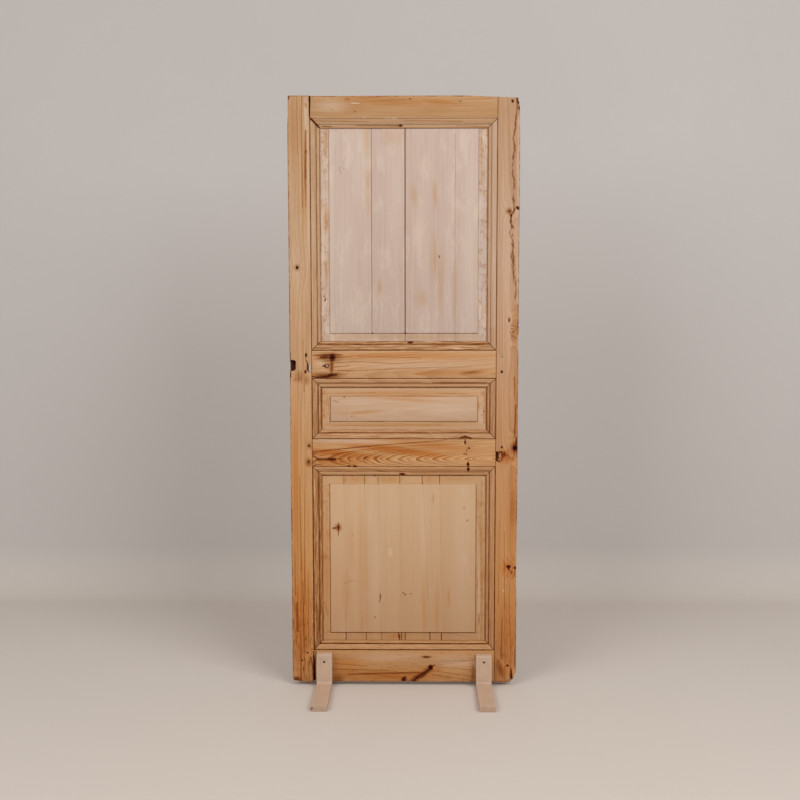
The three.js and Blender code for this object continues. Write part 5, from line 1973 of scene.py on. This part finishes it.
def door_camera():
    """The camera at the height of an eye, a little over four metres in front of the door"""
    angles = [math.radians(angle) for angle in CAMERA_TURN]
    bpy.ops.object.camera_add(location=CAMERA_PLACE, rotation=angles)
    camera = bpy.context.active_object
    camera.name = "door_camera"
    camera.data.sensor_width = SENSOR_WIDTH
    camera.data.lens = CAMERA_LENS
    return camera


# Operators


class DOOR_OT_stage(bpy.types.Operator):
    """Set up the plain floor and backdrop, the soft lamps and the camera"""

    bl_idname = "door.stage"
    bl_label = "Studio Stage"
    bl_options = {"REGISTER", "UNDO"}

    def execute(self, context):
        make_effects()
        scene = context.scene
        scene.view_settings.view_transform = "Standard"
        sweep = studio_sweep()
        sweep.data.materials.append(sweep_material())
        for name, place, power in LAMPS:
            soft_lamp(name, place, power, scene.door_sizes.lamp_size)
        scene.world = studio_world()
        scene.camera = door_camera()
        return {"FINISHED"}


class DOOR_OT_stiles(bpy.types.Operator):
    """Dress the two stiles in worn, stripped pine"""

    bl_idname = "door.stiles"
    bl_label = "Stiles"
    bl_options = {"REGISTER", "UNDO"}

    def execute(self, context):
        make_effects()
        make_members(STILES)
        return {"FINISHED"}


class DOOR_OT_rails(bpy.types.Operator):
    """Dress the four rails in worn, stripped pine"""

    bl_idname = "door.rails"
    bl_label = "Rails"
    bl_options = {"REGISTER", "UNDO"}

    def execute(self, context):
        make_effects()
        make_members(RAILS)
        return {"FINISHED"}


class DOOR_OT_top_panel(bpy.types.Operator):
    """Dress the five pale, chalky boards of the top panel"""

    bl_idname = "door.top_panel"
    bl_label = "Top Panel"
    bl_options = {"REGISTER", "UNDO"}

    def execute(self, context):
        make_effects()
        make_panel(TOP_PANEL)
        return {"FINISHED"}


class DOOR_OT_middle_panel(bpy.types.Operator):
    """Dress the single lying board of the middle panel"""

    bl_idname = "door.middle_panel"
    bl_label = "Middle Panel"
    bl_options = {"REGISTER", "UNDO"}

    def execute(self, context):
        make_effects()
        make_panel(MIDDLE_PANEL)
        return {"FINISHED"}


class DOOR_OT_bottom_panel(bpy.types.Operator):
    """Dress the seven tapering boards of the bottom panel"""

    bl_idname = "door.bottom_panel"
    bl_label = "Bottom Panel"
    bl_options = {"REGISTER", "UNDO"}

    def execute(self, context):
        make_effects()
        make_panel(BOTTOM_PANEL)
        return {"FINISHED"}


class DOOR_OT_filler(bpy.types.Operator):
    """Fill joints between the boards of the top and the bottom panel with old whiting"""

    bl_idname = "door.filler"
    bl_label = "Joint Filler"
    bl_options = {"REGISTER", "UNDO"}

    def execute(self, context):
        make_effects()
        sizes, colours = context.scene.door_sizes, context.scene.door_colours
        panels = [
            ("top_joint_filler", TOP_BOARDS[2:4], colours.top_board, "pine_top_panel"),
            ("bottom_joint_filler", BOTTOM_BOARDS[:6], colours.bottom_board, "pine_panel"),
        ]
        for name, boards, tone, slot in panels:
            piece = joint_filler(name, boards, sizes.filler_width, sizes.filler_sunk)
            piece.data.materials.append(filler_material(name.replace("_", " "), tuple(tone)))
            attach(piece, "root")
        return {"FINISHED"}


class DOOR_OT_pegs(bpy.types.Operator):
    """Whittle the draw pegs that hold the tenons"""

    bl_idname = "door.pegs"
    bl_label = "Draw Pegs"
    bl_options = {"REGISTER", "UNDO"}

    def execute(self, context):
        make_effects()
        nodes = sorted(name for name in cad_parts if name.startswith("peg_"))
        if not nodes:
            raise RuntimeError("the frame has no draw pegs")
        for n, node in enumerate(nodes):
            piece = peg_piece(node, node + "_wood", 23.0 * n, context.scene.door_sizes.peg_chamfer)
            tone = PEG_TONES.get(node, linear(62 + 3 * (n % 4), 38, 26))
            dress(piece, peg_material(node + " end grain", tone), "peg_wood", node)
        return {"FINISHED"}


class DOOR_OT_feet(bpy.types.Operator):
    """Paint the four feet and round their edges"""

    bl_idname = "door.feet"
    bl_label = "Painted Feet"
    bl_options = {"REGISTER", "UNDO"}

    def execute(self, context):
        make_effects()
        for spot in FEET:
            node = "foot_" + spot
            piece = softened_copy(node, node + "_painted", context.scene.door_sizes.paint_round, 3)
            material = foot_material(node + " paint", node, FOOT_CHIPS.get(spot, []))
            dress(piece, material, "foot_paint", node)
        return {"FINISHED"}


class DOOR_OT_screws(bpy.types.Operator):
    """Cut the recess in each foot's screw and blacken it"""

    bl_idname = "door.screws"
    bl_label = "Foot Screws"
    bl_options = {"REGISTER", "UNDO"}

    def execute(self, context):
        make_effects()
        for spot in FEET:
            node = "screw_" + spot
            piece = screw_piece(node, node + "_steel", context.scene.door_sizes.screw_slot)
            dress(piece, screw_material(node + " steel"), "screw_steel", node)
        return {"FINISHED"}


OPERATORS = (
    DOOR_OT_stage,
    DOOR_OT_stiles,
    DOOR_OT_rails,
    DOOR_OT_top_panel,
    DOOR_OT_middle_panel,
    DOOR_OT_bottom_panel,
    DOOR_OT_filler,
    DOOR_OT_pegs,
    DOOR_OT_feet,
    DOOR_OT_screws,
)


class DOOR_PT_finishes(bpy.types.Panel):
    bl_label = "Weathered Door"
    bl_idname = "DOOR_PT_finishes"
    bl_space_type = "VIEW_3D"
    bl_region_type = "UI"
    bl_category = "Door"

    def draw(self, context):
        layout = self.layout
        for operator in OPERATORS:
            layout.operator(operator.bl_idname)
        for settings in (context.scene.door_sizes, context.scene.door_colours):
            box = layout.box()
            for name in settings.__annotations__:
                box.prop(settings, name)


CLASSES = (DoorSizes, DoorColours, *OPERATORS, DOOR_PT_finishes)


def register():
    for item in CLASSES:
        bpy.utils.register_class(item)
    bpy.types.Scene.door_sizes = bpy.props.PointerProperty(type=DoorSizes)
    bpy.types.Scene.door_colours = bpy.props.PointerProperty(type=DoorColours)


def unregister():
    del bpy.types.Scene.door_colours
    del bpy.types.Scene.door_sizes
    for item in reversed(CLASSES):
        bpy.utils.unregister_class(item)


def main():
    """Registers the tools, then makes the stage and every piece"""
    register()
    bpy.ops.door.stage()
    bpy.ops.door.stiles()
    bpy.ops.door.rails()
    bpy.ops.door.top_panel()
    bpy.ops.door.middle_panel()
    bpy.ops.door.bottom_panel()
    bpy.ops.door.filler()
    bpy.ops.door.pegs()
    bpy.ops.door.feet()
    bpy.ops.door.screws()


if __name__ == "__main__":
    main()
